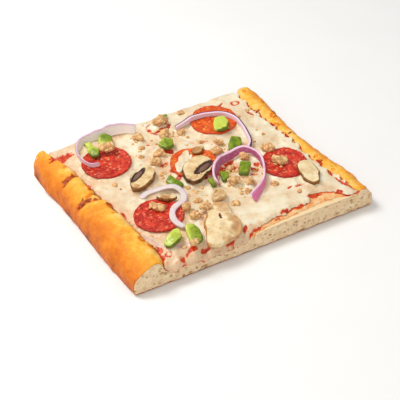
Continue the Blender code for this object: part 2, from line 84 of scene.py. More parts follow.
# Rows of the baked rims: y, outer edge x, inner edge x, height of the crown.
LEFT_RIM = np.array([
    (-94, -115.5, -87, 23.5), (-82, -117, -84, 24.5), (-68, -117.3, -84, 25.5),
    (-52, -117.5, -86.5, 26), (-34, -117.5, -86, 26), (-14, -117.3, -87.5, 25.5),
    (2, -116.6, -89.5, 24.5), (9, -115.8, -90.5, 22.5), (18, -116.2, -92.5, 25),
    (32, -116.6, -93.5, 25), (41, -116, -92.5, 22.5), (50, -117, -93, 25),
    (64, -117.5, -95, 25.5), (80, -117.5, -98.5, 25), (94, -116.5, -102.5, 22.8),
])
RIGHT_RIM = np.array([
    (-94, 116.5, 99.5, 19.5), (-84, 117.5, 99, 20), (-66, 117.3, 97.5, 20.5),
    (-52, 116.2, 95.5, 20.5), (-32, 113.5, 94.5, 20.5), (-12, 112, 96, 20),
    (6, 111.6, 95.5, 20), (26, 112.5, 95, 20.5), (44, 115.5, 94, 21.5),
    (56, 115, 93.5, 21.5), (70, 117, 93.5, 22.5), (84, 117.5, 94.5, 23),
    (94, 115, 96, 23.5),
])
LEFT_SECTION = [(0.15, 0.94), (0.28, 1.0), (0.47, 0.97), (0.68, 0.88),
                (0.86, 0.72), (0.97, 0.48), (1.0, 0.22), (0.97, 0.0)]
RIGHT_SECTION = [(0.16, 0.95), (0.34, 1.0), (0.58, 0.95), (0.8, 0.8),
                 (0.95, 0.55), (1.0, 0.25), (0.95, 0.0)]

# Where the topping was dragged down at the front cut: x and depth.
FRONT_DROOP = np.array([(-90, 0), (-84, 5), (-75, 1.5), (-66, 3.5), (-50, 5.5), (-36, 6),
                        (-16, 4.5), (-6, 2.2), (8, 0.8), (28, 0)])
DROOP_REACH = 11.0
# Steps along a rim over which its rows are softened.
RIM_SOFTENING = np.array([-3.5, 0, 3.5])

# Front edges of the two layers, from left to right: x and y.
CHEESE_EDGE = np.array([
    (-120, -95), (-82, -95), (-12, -95), (-8, -91), (2, -88), (12, -87.5), (20, -84.5),
    (31, -86.5), (40, -81.5), (48, -84), (57, -83), (65, -75), (75, -76.5), (85, -82.5),
    (92, -91), (99, -92), (104, -95), (120, -95)])
SAUCE_EDGE = np.array([
    (-120, -95), (-6, -95), (0, -92), (22, -90.5), (45, -89), (66, -87.5), (82, -88.5),
    (94, -92.5), (99, -95), (120, -95)])


def rgb(red, green, blue):
    """A colour given as on screen, 0 to 255, in linear light."""
    parts = [part / 255 for part in (red, green, blue)]
    return tuple(p / 12.92 if p <= 0.04045 else ((p + 0.055) / 1.055) ** 2.4
                 for p in parts) + (1.0,)


# Node trees


class Wire:
    """The output of a node, which plain arithmetic can be done on."""

    def __init__(self, nodes, socket):
        self.nodes = nodes
        self.socket = socket

    def maths(self, operation, first, second=0.0):
        return self.nodes.add("ShaderNodeMath", {"operation": operation}, {0: first, 1: second})

    def __add__(self, other):
        return self.maths("ADD", self, other)

    def __sub__(self, other):
        return self.maths("SUBTRACT", self, other)

    def __rsub__(self, other):
        return self.maths("SUBTRACT", other, self)

    def __mul__(self, other):
        return self.maths("MULTIPLY", self, other)

    def __pow__(self, other):
        return self.maths("POWER", self, other)

    __radd__ = __add__

    def most(self, other):
        return self.maths("MAXIMUM", self, other)

    def step(self, low, high):
        """0 below low, 1 above high, with a soft change between them."""
        return self.nodes.add("ShaderNodeMapRange", {"interpolation_type": "SMOOTHSTEP"},
                              {"Value": self, "From Min": low, "From Max": high})


class Nodes:
    """A node tree that grows by one node at a time."""

    def __init__(self, tree):
        self.tree = tree

    def add(self, kind, settings=None, sockets=None, out=0):
        made = self.tree.nodes.new(kind)
        for name, value in (settings or {}).items():
            setattr(made, name, value)
        for name, value in (sockets or {}).items():
            self.feed(made.inputs[name], value)
        return Wire(self, made.outputs[out])

    def feed(self, socket, value):
        """Links a wire to a socket or sets the socket, with colours given as on screen."""
        if isinstance(value, Wire):
            self.tree.links.new(value.socket, socket)
        else:
            socket.default_value = rgb(*value) if socket.type == "RGBA" else value


class Finish(Nodes):
    """A material with sizes in millimetres."""

    def __init__(self, name, **constants):
        self.material = bpy.data.materials.new(name)
        self.material.use_nodes = True
        super().__init__(self.material.node_tree)
        self.shader = self.tree.nodes["Principled BSDF"]
        constants = {"specular_ior_level": 0.35, "subsurface_scale": 0.002, **constants}
        for key, value in constants.items():
            label = key.replace("_", " ").title().replace("Ior", "IOR")
            self.shader.inputs[label].default_value = value
        self.place = self.add("ShaderNodeTexCoord", out=3)

    def spot(self, size, shift=0.0, stretch=(1, 1, 1)):
        """Object coordinates in units of size, moved so that patterns differ."""
        scale = tuple(s / (size * MM) for s in stretch)
        return self.add("ShaderNodeVectorMath", {"operation": "MULTIPLY_ADD"},
                        {0: self.place, 1: scale, 2: (shift, shift * 0.7, shift * 1.3)})

    def cloud(self, size, detail=2.0, rough=0.5, shift=0.0, stretch=(1, 1, 1)):
        """Soft random patches of about that size, 0 to 1."""
        return self.add("ShaderNodeTexNoise", {}, {
            "Vector": self.spot(size, shift, stretch), "Scale": 1.0,
            "Detail": detail, "Roughness": rough})

    def drift(self, reach, *cloud):
        """A cloud about 0, as wide as reach from its lowest to its highest."""
        return (self.cloud(*cloud) - 0.5) * reach

    def cells(self, size, shift=0.0, stretch=(1, 1, 1)):
        """Distance from the middles of random cells of about that size."""
        return self.add("ShaderNodeTexVoronoi", {}, {
            "Vector": self.spot(size, shift, stretch), "Scale": 1.0})

    def own(self, name):
        """A number kept on the piece's mesh."""
        return self.add("ShaderNodeAttribute", {"attribute_name": name}, out=2)

    def patch(self, name, low, high, reach, *cloud):
        """An own number, 0 below low to 1 above high, with an edge that drifts."""
        return (self.own(name) + self.drift(reach, *cloud)).step(low, high)

    def mix(self, share, first, second):
        """From the first colour to the second as share goes from 0 to 1."""
        return self.add("ShaderNodeMix", {"data_type": "RGBA"},
                        {0: share, 6: first, 7: second}, out=2)

    def ramp(self, value, stops):
        """A colour for each value, through stops of position and colour."""
        made = self.add("ShaderNodeValToRGB", {}, {0: value})
        slots = made.socket.node.color_ramp.elements
        while len(slots) < len(stops):
            slots.new(1.0)
        for slot, (position, colour) in zip(slots, stops):
            slot.position = position
            slot.color = rgb(*colour)
        return made

    def paint(self, colour, roughness=None, relief=None):
        """Joins the colour, roughness and relief in millimetres to the shader."""
        self.feed(self.shader.inputs["Base Color"], colour)
        if roughness is not None:
            self.feed(self.shader.inputs["Roughness"], roughness)
        if relief is not None:
            bump = self.add("ShaderNodeBump", {}, {"Distance": MM, "Height": relief})
            self.feed(self.shader.inputs["Normal"], bump)
        return self.material


# Finishes


def sauce_tones(f, shift=0.0):
    """Deep to bright reds of cooked tomato in small patches."""
    return f.ramp(f.cloud(2.0, 3, 0.65, shift), [
        (0.3, (132, 20, 6)), (0.45, (190, 44, 14)), (0.6, (220, 82, 26)),
        (0.75, (236, 130, 64))])


def bare_dough_tones(f, pale=0.0):
    """Dough that the sauce has soaked: tan, with orange patches, and pale where told."""
    return f.ramp(f.cloud(4.5, 4, 0.65, 8) - pale, [
        (0.3, (240, 212, 166)), (0.46, (240, 192, 134)), (0.6, (238, 160, 94)),
        (0.74, (224, 104, 50))])


def baked_skin():
    """Golden crust: own numbers are bake, 0 pale to 1 dark, scorch, red, sauce on it, soaked,
    the bare dough between the rims, and pale, that dough next to the front cut."""
    f = Finish("baked_skin", roughness=0.5, specular_ior_level=0.22, subsurface_weight=0.05)
    # The bake number is painted darker in the rim's creases, partly as painted shade, and paler on
    # the swells in front of them, a painted highlight.
    tone = (f.own("bake") + f.drift(0.62, 17, 2, 0.5)
            + f.drift(0.56, 5.0, 4, 0.68, 4) + f.drift(0.2, 1.5, 3, 0.6, 14))
    colour = f.ramp(tone, [
        (0.0, (246, 206, 118)), (0.2, (246, 180, 62)), (0.4, (240, 150, 36)),
        (0.6, (226, 124, 26)), (0.8, (200, 100, 26)), (1.0, (126, 58, 18))])
    freckles = (1 - f.cells(4.5, 2).step(0.1, 0.34)) * f.cloud(9, 2, 0.5, 9).step(0.48, 0.62)
    colour = f.mix(freckles * 0.5, colour, (206, 100, 22))
    scorch = f.patch("scorch", 0.15, 1.05, 0.5, 1.8, 3, 0.6, 12)
    colour = f.mix(scorch, colour, f.mix(f.cloud(2.0, 2, 0.5, 5).step(0.42, 0.58),
                                         (196, 88, 36), (140, 54, 22)))
    colour = f.mix(f.own("soaked"), colour, bare_dough_tones(f, f.own("pale")))
    red = f.patch("red", 0.4, 0.7, 0.7, 2.2, 3, 0.65, 9)
    colour = f.mix(red, colour, sauce_tones(f, 11))
    relief = f.cloud(3.0, 4, 0.65, 1) * 0.55 + f.cloud(0.8, 3, 0.6, 3) * 0.14
    return f.paint(colour, 0.42 + f.cloud(6, 2, 0.5, 7) * 0.22, relief)


def open_crumb():
    """Cut bread: own numbers are pore, 0 to 1 in a bubble, and rind near the crust."""
    f = Finish("open_crumb", roughness=0.85, specular_ior_level=0.15, subsurface_weight=0.1)
    mottle = f.cloud(5, 4, 0.65)
    colour = f.ramp(mottle, [(0.3, (248, 224, 186)), (0.5, (236, 207, 166)),
                             (0.7, (222, 188, 142))])
    # Small pores, dented and painted darker: painted shade in them.
    small = 1 - f.cells(1.3, 3, stretch=(0.7, 1, 1)).step(0.14, 0.4)
    small = small * f.cloud(3.5, 2, 0.5, 8).step(0.4, 0.6)
    colour = f.mix(small * 0.5, colour, (184, 146, 104))
    # The larger pores painted darker: painted shade in their hollows.
    colour = f.mix(f.own("pore").step(0.2, 0.95) * 0.8, colour, (172, 130, 78))
    rind = f.patch("rind", 0.35, 0.8, 0.6, 3, 3, 0.6, 5)
    colour = f.mix(rind, colour, f.ramp(f.cloud(2.5, 2, 0.5, 6), [
        (0.35, (222, 158, 82)), (0.65, (160, 98, 44))]))
    relief = f.cloud(1.3, 4, 0.7, 2) * 0.5 - small * 0.3
    return f.paint(colour, 0.85, relief)


def tomato_sauce():
    """Own number bare, where the sauce has soaked into the dough and left it tan."""
    f = Finish("tomato_sauce", roughness=0.35, specular_ior_level=0.25, subsurface_weight=0.06,
               coat_weight=0.05, coat_roughness=0.15)
    bare = f.patch("bare", 0.25, 0.7, 0.8, 4, 4, 0.65, 3)
    colour = f.mix(bare, sauce_tones(f), bare_dough_tones(f))
    return f.paint(colour, 0.3 + bare * 0.3, f.cloud(1.8, 3, 0.6, 2) * 0.5)


def melted_cheese():
    """Own numbers: thin, where the sauce under the cheese shows through, red, bare sauce,
    and lilac, onion that has sunk in."""
    f = Finish("melted_cheese", roughness=0.4, subsurface_weight=0.12, coat_weight=0.08,
               coat_roughness=0.2)
    creamy = f.ramp(f.cloud(16, 3, 0.55), [
        (0.34, (240, 230, 202)), (0.5, (234, 216, 182)), (0.66, (224, 194, 154))])
    toasted = f.cloud(4.6, 3, 0.6, 3).step(0.54, 0.72) * f.cloud(15, 2, 0.5, 14).step(0.42, 0.6)
    creamy = f.mix(toasted * 0.8, creamy, (220, 172, 116))
    thin = f.patch("thin", 0.3, 0.95, 1.3, 9, 4, 0.62, 6)
    blush = f.ramp(f.cloud(3.2, 3, 0.6, 7), [
        (0.3, (222, 180, 136)), (0.52, (226, 194, 156)), (0.7, (214, 144, 92))])
    colour = f.mix(thin * 0.9, creamy, blush)
    colour = f.mix(f.own("lilac") * 0.7, colour, (206, 158, 184))
    red = f.own("red") + f.drift(0.8, 2.2, 3, 0.65, 9)
    colour = f.mix(red.step(0.16, 0.5) * 0.75, colour, (226, 136, 92))
    colour = f.mix(red.step(0.42, 0.68), colour, sauce_tones(f, 11))
    relief = f.cloud(5.5, 2, 0.5, 1) * 0.42 + f.cloud(1.2, 2, 0.5, 4) * 0.04
    return f.paint(colour, 0.3 + f.cloud(5, 2, 0.5, 8) * 0.2, relief)


def cured_meat(name, lean, dark, fat, shift):
    """Pepperoni: own number out, 0 in the middle to 1 at the edge."""
    f = Finish(name, roughness=0.35, specular_ior_level=0.25, subsurface_weight=0.06,
               coat_weight=0.08, coat_roughness=0.2)
    colour = f.mix(f.cloud(5.5, 3, 0.65, shift).step(0.36, 0.62), lean, dark)
    flecks = 1 - f.cells(4.2, shift + 2, stretch=(1, 1.2, 1)).step(0.16, 0.4)
    flecks = flecks * f.cloud(7, 2, 0.5, shift + 4).step(0.34, 0.5)
    grains = 1 - f.cells(1.7, shift + 5).step(0.15, 0.42)
    grains = grains * f.cloud(2.8, 2, 0.5, shift + 7).step(0.42, 0.6)
    colour = f.mix((flecks * 0.9).most(grains * 0.55), colour, fat)
    out = f.own("out") + f.drift(0.14, 4, 2, 0.5, shift + 1)
    colour = f.mix(out.step(0.88, 1.0) * 0.8, colour, dark)
    relief = f.cloud(2.6, 3, 0.6, shift) * 0.7 + flecks * 0.3
    return f.paint(colour, 0.3 + f.cloud(3, 2, 0.5, 3) * 0.22, relief)


def mushroom_flesh():
    """Own numbers: gill in the gills, skin, gold where skin is light, warm, stain and
    cream, for a pale slice."""
    f = Finish("mushroom_flesh", roughness=0.5, subsurface_weight=0.1)
    flesh = f.ramp(f.cloud(7, 4, 0.62) - f.own("cream") * 0.1, [
        (0.3, (242, 222, 178)), (0.46, (232, 204, 154)), (0.6, (216, 182, 128)),
        (0.76, (194, 152, 98))])
    # Warm marks brown the flesh; on the front slice they are painted shade too.
    warm = f.patch("warm", 0.0, 1.05, 0.3, 6, 3, 0.55, 3)
    flesh = f.mix(warm, flesh, f.mix(f.cloud(5, 3, 0.55, 13).step(0.25, 0.8),
                                     (208, 154, 92), (166, 110, 60)))
    fibre = f.cloud(1.4, 3, 0.6, 4, (1, 1, 0.3)).step(0.5, 0.8)
    flesh = f.mix(fibre * 0.2, flesh, (168, 124, 76))
    stain = f.patch("stain", 0.35, 0.75, 0.25, 2, 3, 0.6, 15)
    flesh = f.mix(stain, flesh, (104, 36, 16))
    gill = f.own("gill")
    dark = f.mix(f.cloud(1.3, 2, 0.6, 5, (1, 1, 0.2)), (40, 22, 16), (82, 50, 36))
    centre = f.mix(f.cloud(1.1, 2, 0.6, 6), (142, 102, 76), (84, 54, 38))
    dark = f.mix(gill.step(0.36, 0.6), dark, centre)
    colour = f.mix(gill.step(0.0, 0.16), flesh, dark)
    rim = f.patch("skin", 0.42, 0.78, 0.5, 3, 3, 0.6, 8)
    skin = f.mix(f.cloud(4, 3, 0.6, 9).step(0.35, 0.65), (132, 84, 38), (58, 32, 16))
    skin = f.mix(f.own("gold"), skin, (186, 122, 48))
    colour = f.mix(rim, colour, skin)
    relief = f.cloud(1.8, 3, 0.6, 2) * 0.2 + fibre * 0.08
    return f.paint(colour, 0.4 + f.cloud(4, 2, 0.5, 1) * 0.2, relief)


def green_pepper():
    """Own numbers: side, 0 on the flat to 1 on the edge, dark skin with painted shade on the side
    that looks away from the light, and pale, paler flesh with painted light on the other side.
    """
    f = Finish("green_pepper", roughness=0.25, subsurface_weight=0.08, coat_weight=0.12,
               coat_roughness=0.1)
    bright = f.mix(f.cloud(5, 2, 0.5).step(0.35, 0.7), (136, 154, 16), (88, 116, 8))
    pale = f.mix(f.cloud(3, 2, 0.5, 3), (214, 222, 100), (188, 202, 60))
    colour = f.mix(f.patch("pale", 0.25, 0.85, 0.5, 4, 2, 0.5, 5), bright, pale)
    # The dark edge: dark skin, and painted shade on the side away from the light.
    side = f.patch("side", 0.35, 0.85, 0.3, 3, 2, 0.5, 7)
    colour = f.mix(side, colour, (96, 112, 10))
    return f.paint(colour, 0.2 + f.cloud(2, 2, 0.5, 2) * 0.2, f.cloud(1.2, 2, 0.5, 4) * 0.16)


def cooked_meat():
    """Own number deep, 1 in the creases between the grains of meat, where shade is painted."""
    f = Finish("cooked_meat", roughness=0.6, subsurface_weight=0.05)
    colour = f.ramp(f.cloud(2.4, 4, 0.7), [
        (0.28, (214, 156, 92)), (0.45, (236, 188, 124)), (0.62, (246, 208, 150)),
        (0.8, (240, 176, 102))])
    colour = f.mix(f.cloud(5, 3, 0.6, 5).step(0.54, 0.75) * 0.6, colour, (226, 120, 46))
    # Painted shade in the creases between the grains.
    deep = f.patch("deep", 0.5, 1.05, 0.7, 1.6, 3, 0.6, 3)
    colour = f.mix(deep * 0.55, colour, (164, 98, 52))
    relief = f.cloud(1.0, 4, 0.7, 1) * 0.6
    return f.paint(colour, 0.5 + f.cloud(1.5, 2, 0.5, 2) * 0.25, relief)


def onion_flesh(name, inner, outer, line, lip, edge_from=0.8, lip_from=0.66):
    """Own numbers: up, 0 at the foot to 1 at the top, and wall, 0 inside to 1 outside. line
    is the colour of the top from edge_from up, and lip of its outer side from lip_from."""
    f = Finish(name, roughness=0.35, specular_ior_level=0.25, subsurface_weight=0.15,
               coat_weight=0.06, coat_roughness=0.15)
    along = f.cloud(9, 2, 0.5)
    wall = f.own("wall")
    colour = f.mix((wall + (along - 0.5) * 0.3).step(0.35, 0.65), inner, outer)
    streaks = f.cloud(2.2, 3, 0.6, 3, (0.5, 0.5, 3)).step(0.45, 0.8)
    colour = f.mix(streaks * 0.25, colour, (240, 224, 230))
    top = f.patch("up", edge_from, edge_from + 0.1, 0.12, 5, 2, 0.5, 6)
    line = f.mix(f.cloud(4, 3, 0.6, 11).step(0.5, 0.75) * 0.6, line, inner)
    colour = f.mix(top, colour, f.mix(wall.step(lip_from, lip_from + 0.12), line, lip))
    return f.paint(colour, 0.32 + along * 0.14, f.cloud(2.5, 2, 0.5, 8) * 0.2)


def pale_floor():
    f = Finish("pale_floor", roughness=0.7)
    colour = f.mix(f.cloud(60, 2), (246, 245, 242), (242, 241, 238))
    return f.paint(colour)


SKIN = baked_skin()
CRUMB = open_crumb()
SAUCE = tomato_sauce()
CHEESE = melted_cheese()
RED_MEAT = cured_meat("cured_meat_red", (220, 62, 34), (172, 26, 14),
                      (240, 146, 104), 0.0)
ORANGE_MEAT = cured_meat("cured_meat_orange", (234, 104, 20), (206, 62, 12),
                         (244, 160, 78), 20.0)
MUSHROOM = mushroom_flesh()
PEPPER = green_pepper()
MEAT = cooked_meat()

# Shape helpers


def smooth_route(points, count, dense=12):
    """Evenly spaced points along a smooth curve through the given points."""
    points = np.asarray(points, float)
    knots = np.concatenate([[2 * points[0] - points[1]], points, [2 * points[-1] - points[-2]]])
    p, q, r, s = (knots[k:len(knots) - 3 + k, None] for k in range(4))
    t = np.linspace(0, 1, dense, endpoint=False)[None, :, None]
    run = 0.5 * (2 * q + (r - p) * t + (2 * p - 5 * q + 4 * r - s) * t ** 2
                 + (3 * q - p - 3 * r + s) * t ** 3)
    run = np.concatenate([run.reshape(-1, points.shape[1]), points[-1:]])
    along = np.concatenate([[0], np.cumsum(np.linalg.norm(np.diff(run, axis=0), axis=1))])
    places = np.linspace(0, along[-1], count)
    return joined(*(np.interp(places, along, part) for part in run.T))


def rough(points, size, shift=0.0):
    """Soft random numbers of about -1 to 1 at points, with bumps of that size."""
    flat = np.asarray(points, float).reshape(-1, np.shape(points)[-1]) / size + shift
    if flat.shape[1] == 2:
        flat = np.column_stack([flat, np.full(len(flat), 0.37)])
    values = [noise.noise(Vector(point)) for point in flat]
    return np.array(values).reshape(np.shape(points)[:-1]) * 1.6


def ease(value, low, high):
    """0 below low, 1 above high, with a soft change between them."""
    t = np.clip((value - low) / (high - low), 0, 1)
    return t * t * (3 - 2 * t)


def rounded(value):
    """A quarter round: 0 at 0, and 1 from 1 up."""
    return np.sqrt(1 - (1 - np.clip(value, 0, 1)) ** 2)


def bell(away, width):
    """1 where away is 0, falling softly to next to nothing at twice the width."""
    return np.exp(-(away / width) ** 2)


def joined(*parts):
    """Grids of numbers put together into one grid of points."""
    return np.stack(parts, axis=-1)


def along_and_across(x, y, place, turn):
    """Distances from a place along and across a direction in degrees."""
    c, s = math.cos(math.radians(turn)), math.sin(math.radians(turn))
    x, y = x - place[0], y - place[1]
    return x * c + y * s, y * c - x * s


def segment_distance(x, y, ends):
    """Distance in plan from points to a line between two ends, and the share along it."""
    (x0, y0), (x1, y1) = ends
    dx, dy = x1 - x0, y1 - y0
    t = np.clip(((x - x0) * dx + (y - y0) * dy) / (dx * dx + dy * dy), 0, 1)
    return np.hypot(x - x0 - t * dx, y - y0 - t * dy), t


def new_object(name, data):
    """A new object in the scene."""
    made = bpy.data.objects.new(name, data)
    bpy.context.scene.collection.objects.link(made)
    return made


def show(name, verts, faces, finish, slot, nodes, numbers):
    """Makes a smooth piece from millimetres; it stands for the solids in nodes."""
    mesh = bpy.data.meshes.new(name)
    mesh.from_pydata((np.asarray(verts, float) * MM).tolist(), [], faces)
    keep_numbers(mesh, numbers)
    mesh.materials.append(finish)
    return settle(new_object(name, mesh), slot, nodes)


def keep_numbers(mesh, numbers):
    """Keeps named numbers on a mesh, one for each point."""
    for key, values in numbers.items():
        kept = mesh.attributes.new(key, "FLOAT", "POINT")
        kept.data.foreach_set("value", np.ascontiguousarray(values, np.float32).ravel())


def settle(piece, slot, nodes=()):
    """Gives a made piece its place on the pizza's one body."""
    piece.data.shade_smooth()
    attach(piece, "root")
    if nodes:
        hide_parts(*nodes)
    return piece


def grid_faces(rows, columns, start=0, turned=False):
    """Faces of a grid of points that is kept row by row."""
    faces = []
    for i in range(rows - 1):
        for j in range(columns - 1):
            a = start + i * columns + j
            face = (a, a + columns, a + columns + 1, a + 1)
            faces.append(face[::-1] if turned else face)
    return faces


def closed_sheet(top, bottom):
    """Points and faces of a closed sheet with the given two sides."""
    rows, columns = top.shape[:2]
    size = rows * columns
    faces = grid_faces(rows, columns) + grid_faces(rows, columns, size, True)
    ring = ([(0, j) for j in range(columns)] + [(i, columns - 1) for i in range(1, rows)]
            + [(rows - 1, j) for j in range(columns - 2, -1, -1)]
            + [(i, 0) for i in range(rows - 2, 0, -1)])
    ids = [i * columns + j for i, j in ring]
    for a, b in zip(ids, ids[1:] + ids[:1]):
        faces.append((a, b, size + b, size + a))
    return np.concatenate([top.reshape(-1, 3), bottom.reshape(-1, 3)]), faces


def closed_disc(top, bottom):
    """Points and faces of a closed slice: rings from the middle to a shared last ring."""
    rings, sides = top.shape[:2]
    verts = [top[0, 0]] + list(top[1:].reshape(-1, 3))
    low_start = len(verts)
    verts += [bottom[0, 0]] + list(bottom[1:-1].reshape(-1, 3))

    def high(ring, side):
        return 1 + (ring - 1) * sides + side % sides if ring else 0

    def low(ring, side):
        if ring == rings - 1:
            return high(ring, side)
        return low_start + 1 + (ring - 1) * sides + side % sides if ring else low_start

    faces = []
    for side in range(sides):
        faces.append((high(0, 0), high(1, side), high(1, side + 1)))
        faces.append((low(0, 0), low(1, side + 1), low(1, side)))
        for ring in range(1, rings - 1):
            faces.append((high(ring, side), high(ring + 1, side),
                          high(ring + 1, side + 1), high(ring, side + 1)))
            faces.append((low(ring, side), low(ring, side + 1),
                          low(ring + 1, side + 1), low(ring + 1, side)))
    return np.array(verts), faces


def show_sheet(name, top, bottom, finish, slot, nodes, numbers):
    """Makes a piece from the two sides of a sheet, with the same numbers on both."""
    both = {key: np.tile(value.ravel(), 2) for key, value in numbers.items()}
    return show(name, *closed_sheet(top, bottom), finish, slot, nodes, both)


def show_slice(name, x, y, top, bottom, finish, slot, nodes, numbers):
    """Makes a slice from the heights of its two sides, with the same numbers on both."""
    both = {key: np.concatenate([value[0, :1], value[1:].ravel(),
                                 value[0, :1], value[1:-1].ravel()])
            for key, value in numbers.items()}
    sides = closed_disc(joined(x, y, top), joined(x, y, bottom))
    return show(name, *sides, finish, slot, nodes, both)


def tree_of(*pieces):
    """A search tree of the shapes of pieces, in millimetres."""
    verts, faces = [], []
    for piece in pieces:
        start = len(verts)
        verts += [v.co / MM for v in piece.data.vertices]
        faces += [[start + k for k in p.vertices] for p in piece.data.polygons]
    return BVHTree.FromPolygons(verts, faces)


# An upright line starts well clear of the pizza, and stands a little off each place so
# that it doesn't run along the edges of faces.
CLEAR = 90.0
OFF_EDGE_X, OFF_EDGE_Y = 0.011, 0.013


def height_at(tree, x, y, down=True):
    """Height where an upright line meets the shapes, or None."""
    up = 1 if down else -1
    start = Vector((x + OFF_EDGE_X, y + OFF_EDGE_Y, up * CLEAR))
    hit = tree.ray_cast(start, Vector((0, 0, -up)))
    return None if hit[0] is None else hit[0].z


def heights(tree, x, y, down=True):
    """The same for whole grids of places, with nan where nothing is met."""
    met = [height_at(tree, *place, down) for place in zip(np.ravel(x), np.ravel(y))]
    return np.array(met, float).reshape(np.shape(x))


def keep_result(piece, step):
    """Turns what a modifier makes of a piece into its mesh and takes the modifier off."""
    graph = bpy.context.evaluated_depsgraph_get()
    mesh = bpy.data.meshes.new_from_object(piece.evaluated_get(graph))
    piece.modifiers.remove(step)
    piece.data = mesh
    return piece


def mesh_of(made, name):
    """A mesh from shapes made with bmesh, which are let go."""
    mesh = bpy.data.meshes.new(name)
    made.to_mesh(mesh)
    made.free()
    return mesh


# The dough


def rim_rows(table, y):
    """Outer x, inner x and crown height of a rim, softened along y."""
    near = np.asarray(y, float)[..., None] + RIM_SOFTENING
    return [np.interp(near, table[:, 0], table[:, k]).mean(-1) for k in (1, 2, 3)]


def dough_height(x, y):
    """Height of the bare dough between the rims."""
    swell = 0.35 * np.sin(0.055 * x + 1.0) * np.cos(0.047 * y)
    droop = np.interp(x, *FRONT_DROOP.T)
    near = np.clip((FRONT_CUT + DROOP_REACH - y) / DROOP_REACH, 0, 1)
    return DOUGH_TOP + swell - droop * near * near * (3 - 2 * near)


# Creases across the left rim: ends in plan, depth, width and how much the dough
# swells up again in front of them. Along each the colour is painted darker, partly
# browning and partly painted shade, and paler on the swell, a painted highlight.
CREASES = [(((-86, 46), (-110, 40.5)), 2.2, 1.8, 1.7),
           (((-86, 0.5), (-112, 8.5)), 2.4, 2.0, 2.1),
           (((-92, 16), (-102, 12.5)), 1.6, 1.3, 1.0),
           (((-84, -25), (-94, -20)), 1.3, 1.5, 1.0),
           (((-90, 62), (-101, 60)), 0.9, 1.6, 0.6)]
# Pits: place, radius and depth.
PITS = [((-106, 44), 4.6, 0.8), ((-101, 45), 2.8, 0.6), ((-109, 10.6), 5.0, 0.9),
        ((-103, 8.8), 3.4, 0.7), ((-98, 6.4), 2.4, 0.5), ((-93.5, 4.6), 2.0, 0.4),
        ((-94.6, 12.7), 1.8, 0.4), ((-97.1, 20.3), 1.7, 0.4), ((-92.8, -6.3), 1.8, 0.4),
        ((96, 54), 2.6, 1.0), ((100, 8), 2.2, 0.8), ((99, -41), 2.8, 0.9), ((92, 48), 2.2, 0.8),
        ((94, 36), 2.0, 0.6), ((96, 24), 1.8, 0.6)]
# Blisters that have burst: place, radius and height.
BLISTERS = [((-88, -53), 2.5, 1.2), ((-91.5, -61.5), 2.5, 1.3), ((-87, -70.5), 2.9, 1.3),
            ((-92.5, -7), 2.4, 1.2), ((-93, 13), 2.2, 1.1), ((-96, 20), 2.3, 1.1),
            ((-94, 26), 1.9, 0.9), ((-88, -17), 1.8, 0.9), ((104, 41), 2.8, 1.2),
            ((109, 47), 2.6, 1.1), ((102, 88), 1.7, 0.7), ((107, 64), 1.4, 0.5),
            ((98, 27), 2.2, 0.9), ((97, 12), 1.6, 0.7), ((100, -33), 1.5, 0.6),
            ((101, -57), 1.4, 0.5)]

# Patches of bare sauce: place, half length, half width and turn.
SAUCE_SPOTS = [
    ((-96, 78), 12, 5.6, 12), ((-87, 81), 5, 4.2, 0), ((-106, 73.5), 4, 2, 20),
    ((14, -14), 6, 4, 60), ((27, -12), 7, 3, 20), ((36, -16), 5, 3, -40),
    ((-10, 40.5), 8, 2.6, -28), ((3, 73.2), 9, 1.8, 4), ((12, 76), 2.6, 2.6, 0),
    ((-7, 78), 2, 3.4, 0), ((-18.3, 59.3), 1.7, 1.4, 0), ((-10.9, 56.9), 1.7, 1.2, 0),
    ((-21.5, 0.5), 4.4, 2.6, 30), ((-20, 12.5), 2.6, 4.2, 0), ((-21, 25), 5, 2.5, 20),
    ((16.7, -9.5), 5.5, 3.4, 45), ((27.7, -3.6), 6.5, 2.6, 5), ((23, -8), 3.5, 2.5, 0),
    ((42, -22), 5, 3, -50), ((48, -17), 3, 4, 0), ((37.7, -28.3), 3.5, 2, -30),
    ((-2, -12.6), 4, 1.8, 30), ((19, 2), 5, 1.6, 30), ((26, 38), 4, 1.4, 10),
    ((-60.6, -88.3), 7, 2.6, 10), ((-50, -91), 4, 2, 0), ((-71, -93), 3, 2.5, 0),
    ((-82, -75), 1.8, 5, 0), ((-84.5, -83), 1.6, 4, 0), ((-86, -20), 2.2, 6, 0),
    ((-92, 30), 1.8, 3, 0), ((-70.4, 13.1), 1.4, 1.1, 0), ((62.3, -62.2), 5.5, 1.3, -8),
    ((54, -59.5), 3.5, 1.2, 10), ((66.5, -78.3), 7.5, 2.6, -4), ((32, -84.2), 6, 2, 10),
    ((46, -84.5), 5, 1.8, 0), ((22, -88), 4, 1.6, 0), ((86, -84.5), 5, 1.8, -30),
    ((96.5, -76), 1.8, 9, 6), ((96, -58.9), 1.5, 6, 0), ((88.5, 55), 1.6, 5, 20),
    ((95.5, 30), 1.5, 5, 0), ((96.8, 7.3), 1.6, 5, 0), ((97.5, -40.7), 1.8, 6, 0),
    ((71, 82), 4, 1.2, 20), ((-78, 52), 1.6, 1.2, 0), ((66, 14), 3, 1, 20),
    ((-27, -93), 5, 1.6, 0), ((-9, -87), 4, 2, 30),
]
# The same as thin rings: place and radius.
SAUCE_RINGS = [((-78.9, -83.8), 2.4), ((85.3, 77.6), 3.4), ((1, 78), 9.5)]


